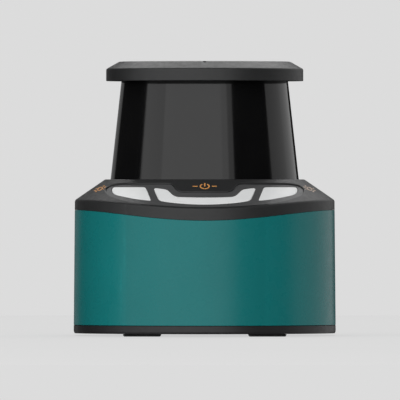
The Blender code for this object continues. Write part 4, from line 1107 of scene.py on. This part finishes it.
def make_materials():
    """One procedural finish for each material slot, and a few variants of them."""
    recipes = [
        # recipe, name, colour, roughness, grain or brushing, specular level or relief
        (moulded_plastic, "dark_plastic", (0.026, 0.0265, 0.027), 0.42, MOULD_GRAIN, 0.29),
        (moulded_plastic, "cap_plastic", (0.022, 0.0225, 0.023), 0.44, MOULD_GRAIN, 0.36),
        # A lighter copy of dark_plastic for the crescent panel: painted light, standing for the light its
        # shallower floor catches
        (moulded_plastic, "panel_plastic", (0.072, 0.073, 0.074), 0.46, MOULD_GRAIN, 0.40),
        (moulded_plastic, "black_plastic", (0.022, 0.0215, 0.0225), 0.40, MOULD_GRAIN, 0.30),
        (moulded_plastic, "print_ink", (0.62, 0.27, 0.075), 0.5, INK_GRAIN),
        (moulded_plastic, "pale_ink", (0.55, 0.40, 0.30), 0.5, INK_GRAIN),
        (satin_paint, "teal_paint", (0.0055, 0.158, 0.159), 0.28),
        (polished_plastic, "window_plastic", (0.0042, 0.0042, 0.0044), 0.09),
        (diffuser, "white_diffuser", (0.67, 0.68, 0.68), 0.11),
        (rubber, "rubber", (0.018, 0.018, 0.018)),
        (metal, "nickel_brass", (0.66, 0.63, 0.57), 0.26, EVEN, 0.0012 * MM),
        (metal, "gold", (0.83, 0.60, 0.24), 0.22),
        (metal, "aluminium", (0.62, 0.63, 0.64), 0.42, EVEN, 0.012 * MM),
        (metal, "steel", (0.60, 0.61, 0.62), 0.30, (1.0, 1.0, 6.0)),
        (metal, "copper", (0.72, 0.30, 0.15), 0.34, (1.0, 1.0, 14.0), 0.02 * MM),
        (metal, "magnet", (0.10, 0.10, 0.105), 0.55, EVEN, 0.015 * MM),
        (metal, "brass", (0.70, 0.50, 0.22), 0.30),
        (clear_glass, "glass", (0.80, 0.86, 0.86), 0.03),
        (metal, "mirror", (0.90, 0.90, 0.90), 0.03, EVEN, 0.0002 * MM),
        (solder_mask, "circuit_board", (0.018, 0.11, 0.045)),
    ]
    made = {}
    for recipe, name, *values in recipes:
        nodes = Nodes(name)
        recipe(nodes, *values)
        made[name] = nodes.material
    return made


def finish_carried_nodes():
    """Gives every CAD node the finish of its own material slot."""
    for part in frame["record"]["subparts"]:
        obj = frame["nodes"][part["node"]]
        obj.data.materials.clear()
        obj.data.materials.append(MATERIALS[part["material_slot"]])


# ---- Stage ----


def make_stage():
    """A wide pale floor under the object."""
    mesh = bpy.data.meshes.new("floor")
    angles = np.arange(FLOOR_STEPS) * 2 * math.pi / FLOOR_STEPS
    mesh.from_pydata(round_ring(FLOOR_RADIUS, 0.0, angles).tolist(), [], [tuple(range(FLOOR_STEPS))])
    floor = add_object("floor", mesh)
    nodes = Nodes("floor_paper")
    dark, light = ((grey,) * 3 for grey in FLOOR_GREY)
    nodes.color(nodes.mix(nodes.spread(nodes.noise(6.0, 4.0), 0.0, 1.0), dark, light))
    nodes.shine(nodes.noise(40.0), 0.90, 1.0)
    nodes.bump([(nodes.noise(600.0), 0.02 * MM)])
    nodes.set(Specular_IOR_Level=0.0, Emission_Strength=FLOOR_GLOW, Emission_Color=WHITE)
    mesh.materials.append(nodes.material)
    floor.visible_glossy = False
    floor.visible_diffuse = False


def make_camera():
    """A long lens, level with the middle of the object."""
    data = bpy.data.cameras.new("camera")
    data.sensor_width = SENSOR_WIDTH
    data.lens = SENSOR_WIDTH * CAMERA_DISTANCE / VIEW_WIDTH
    data.clip_end = 100.0
    camera = add_object("camera", data)
    camera.location = VIEW_CENTER + Vector((0, -CAMERA_DISTANCE, 0))
    camera.rotation_euler = (math.pi / 2, 0, 0)
    bpy.context.scene.camera = camera


def make_world():
    """Plain grey where the camera looks past the object; a dim sky for the light on it."""
    world = bpy.data.worlds.new("studio")
    world.use_nodes = True
    tree = world.node_tree
    background = tree.nodes["Background"]
    background.inputs["Color"].default_value = (*[BACKGROUND] * 3, 1.0)
    path = add_node(tree, "ShaderNodeLightPath").outputs
    strengths = {"Value": path["Is Glossy Ray"], "To Min": SKY_LEVEL, "To Max": SKY_GLOSS}
    level = add_node(tree, "ShaderNodeMapRange", strengths)
    sky = add_node(tree, "ShaderNodeBackground", {"Color": WHITE, "Strength": level.outputs["Result"]})
    shaders = {1: sky.outputs["Background"], 2: background.outputs["Background"]}
    mix = add_node(tree, "ShaderNodeMixShader", {"Fac": path["Is Camera Ray"], **shaders})
    tree.links.new(mix.outputs["Shader"], tree.nodes["World Output"].inputs["Surface"])
    bpy.context.scene.world = world
    bpy.context.scene.view_settings.view_transform = "Standard"


def make_lights():
    """Soft boxes in upright arcs round the object; azimuth 0 is the camera's side and grows to the right."""
    for name, first, last, low, high, radiance in WALL_LIGHTS:
        count = math.ceil((last - first) / SEGMENT_ANGLE)
        span = (last - first) / count
        width = 2 * LIGHT_DISTANCE * math.tan(math.radians(span / 2))
        bottom = LIGHT_DISTANCE * math.tan(math.radians(low))
        top = LIGHT_DISTANCE * math.tan(math.radians(high))
        for i in range(count):
            turn = math.radians(first + span * (i + 0.5))
            towards = Vector((math.sin(turn), -math.cos(turn), 0))
            data = bpy.data.lights.new("%s_%d" % (name, i), "AREA")
            data.shape, data.size, data.size_y = "RECTANGLE", width, top - bottom
            data.energy = radiance * math.pi * width * (top - bottom)
            light = add_object(data.name, data)
            light.location = towards * LIGHT_DISTANCE
            light.location.z = LIGHT_LEVEL + (bottom + top) / 2
            light.rotation_euler = towards.to_track_quat("Z", "Y").to_euler()
            light.visible_camera = False


# ---- Build ----

MATERIALS = make_materials()
finish_carried_nodes()
make_camera()
make_world()
make_lights()
make_stage()
make_collar()
make_indicators()
make_housing()
make_base_plate()
make_feet()
make_cap()
make_window()
make_connector("power_connector", -CONNECTOR_X, 8)
make_connector("network_connector", CONNECTOR_X, 4)
make_vent_plug()
make_fasteners()
make_marks()
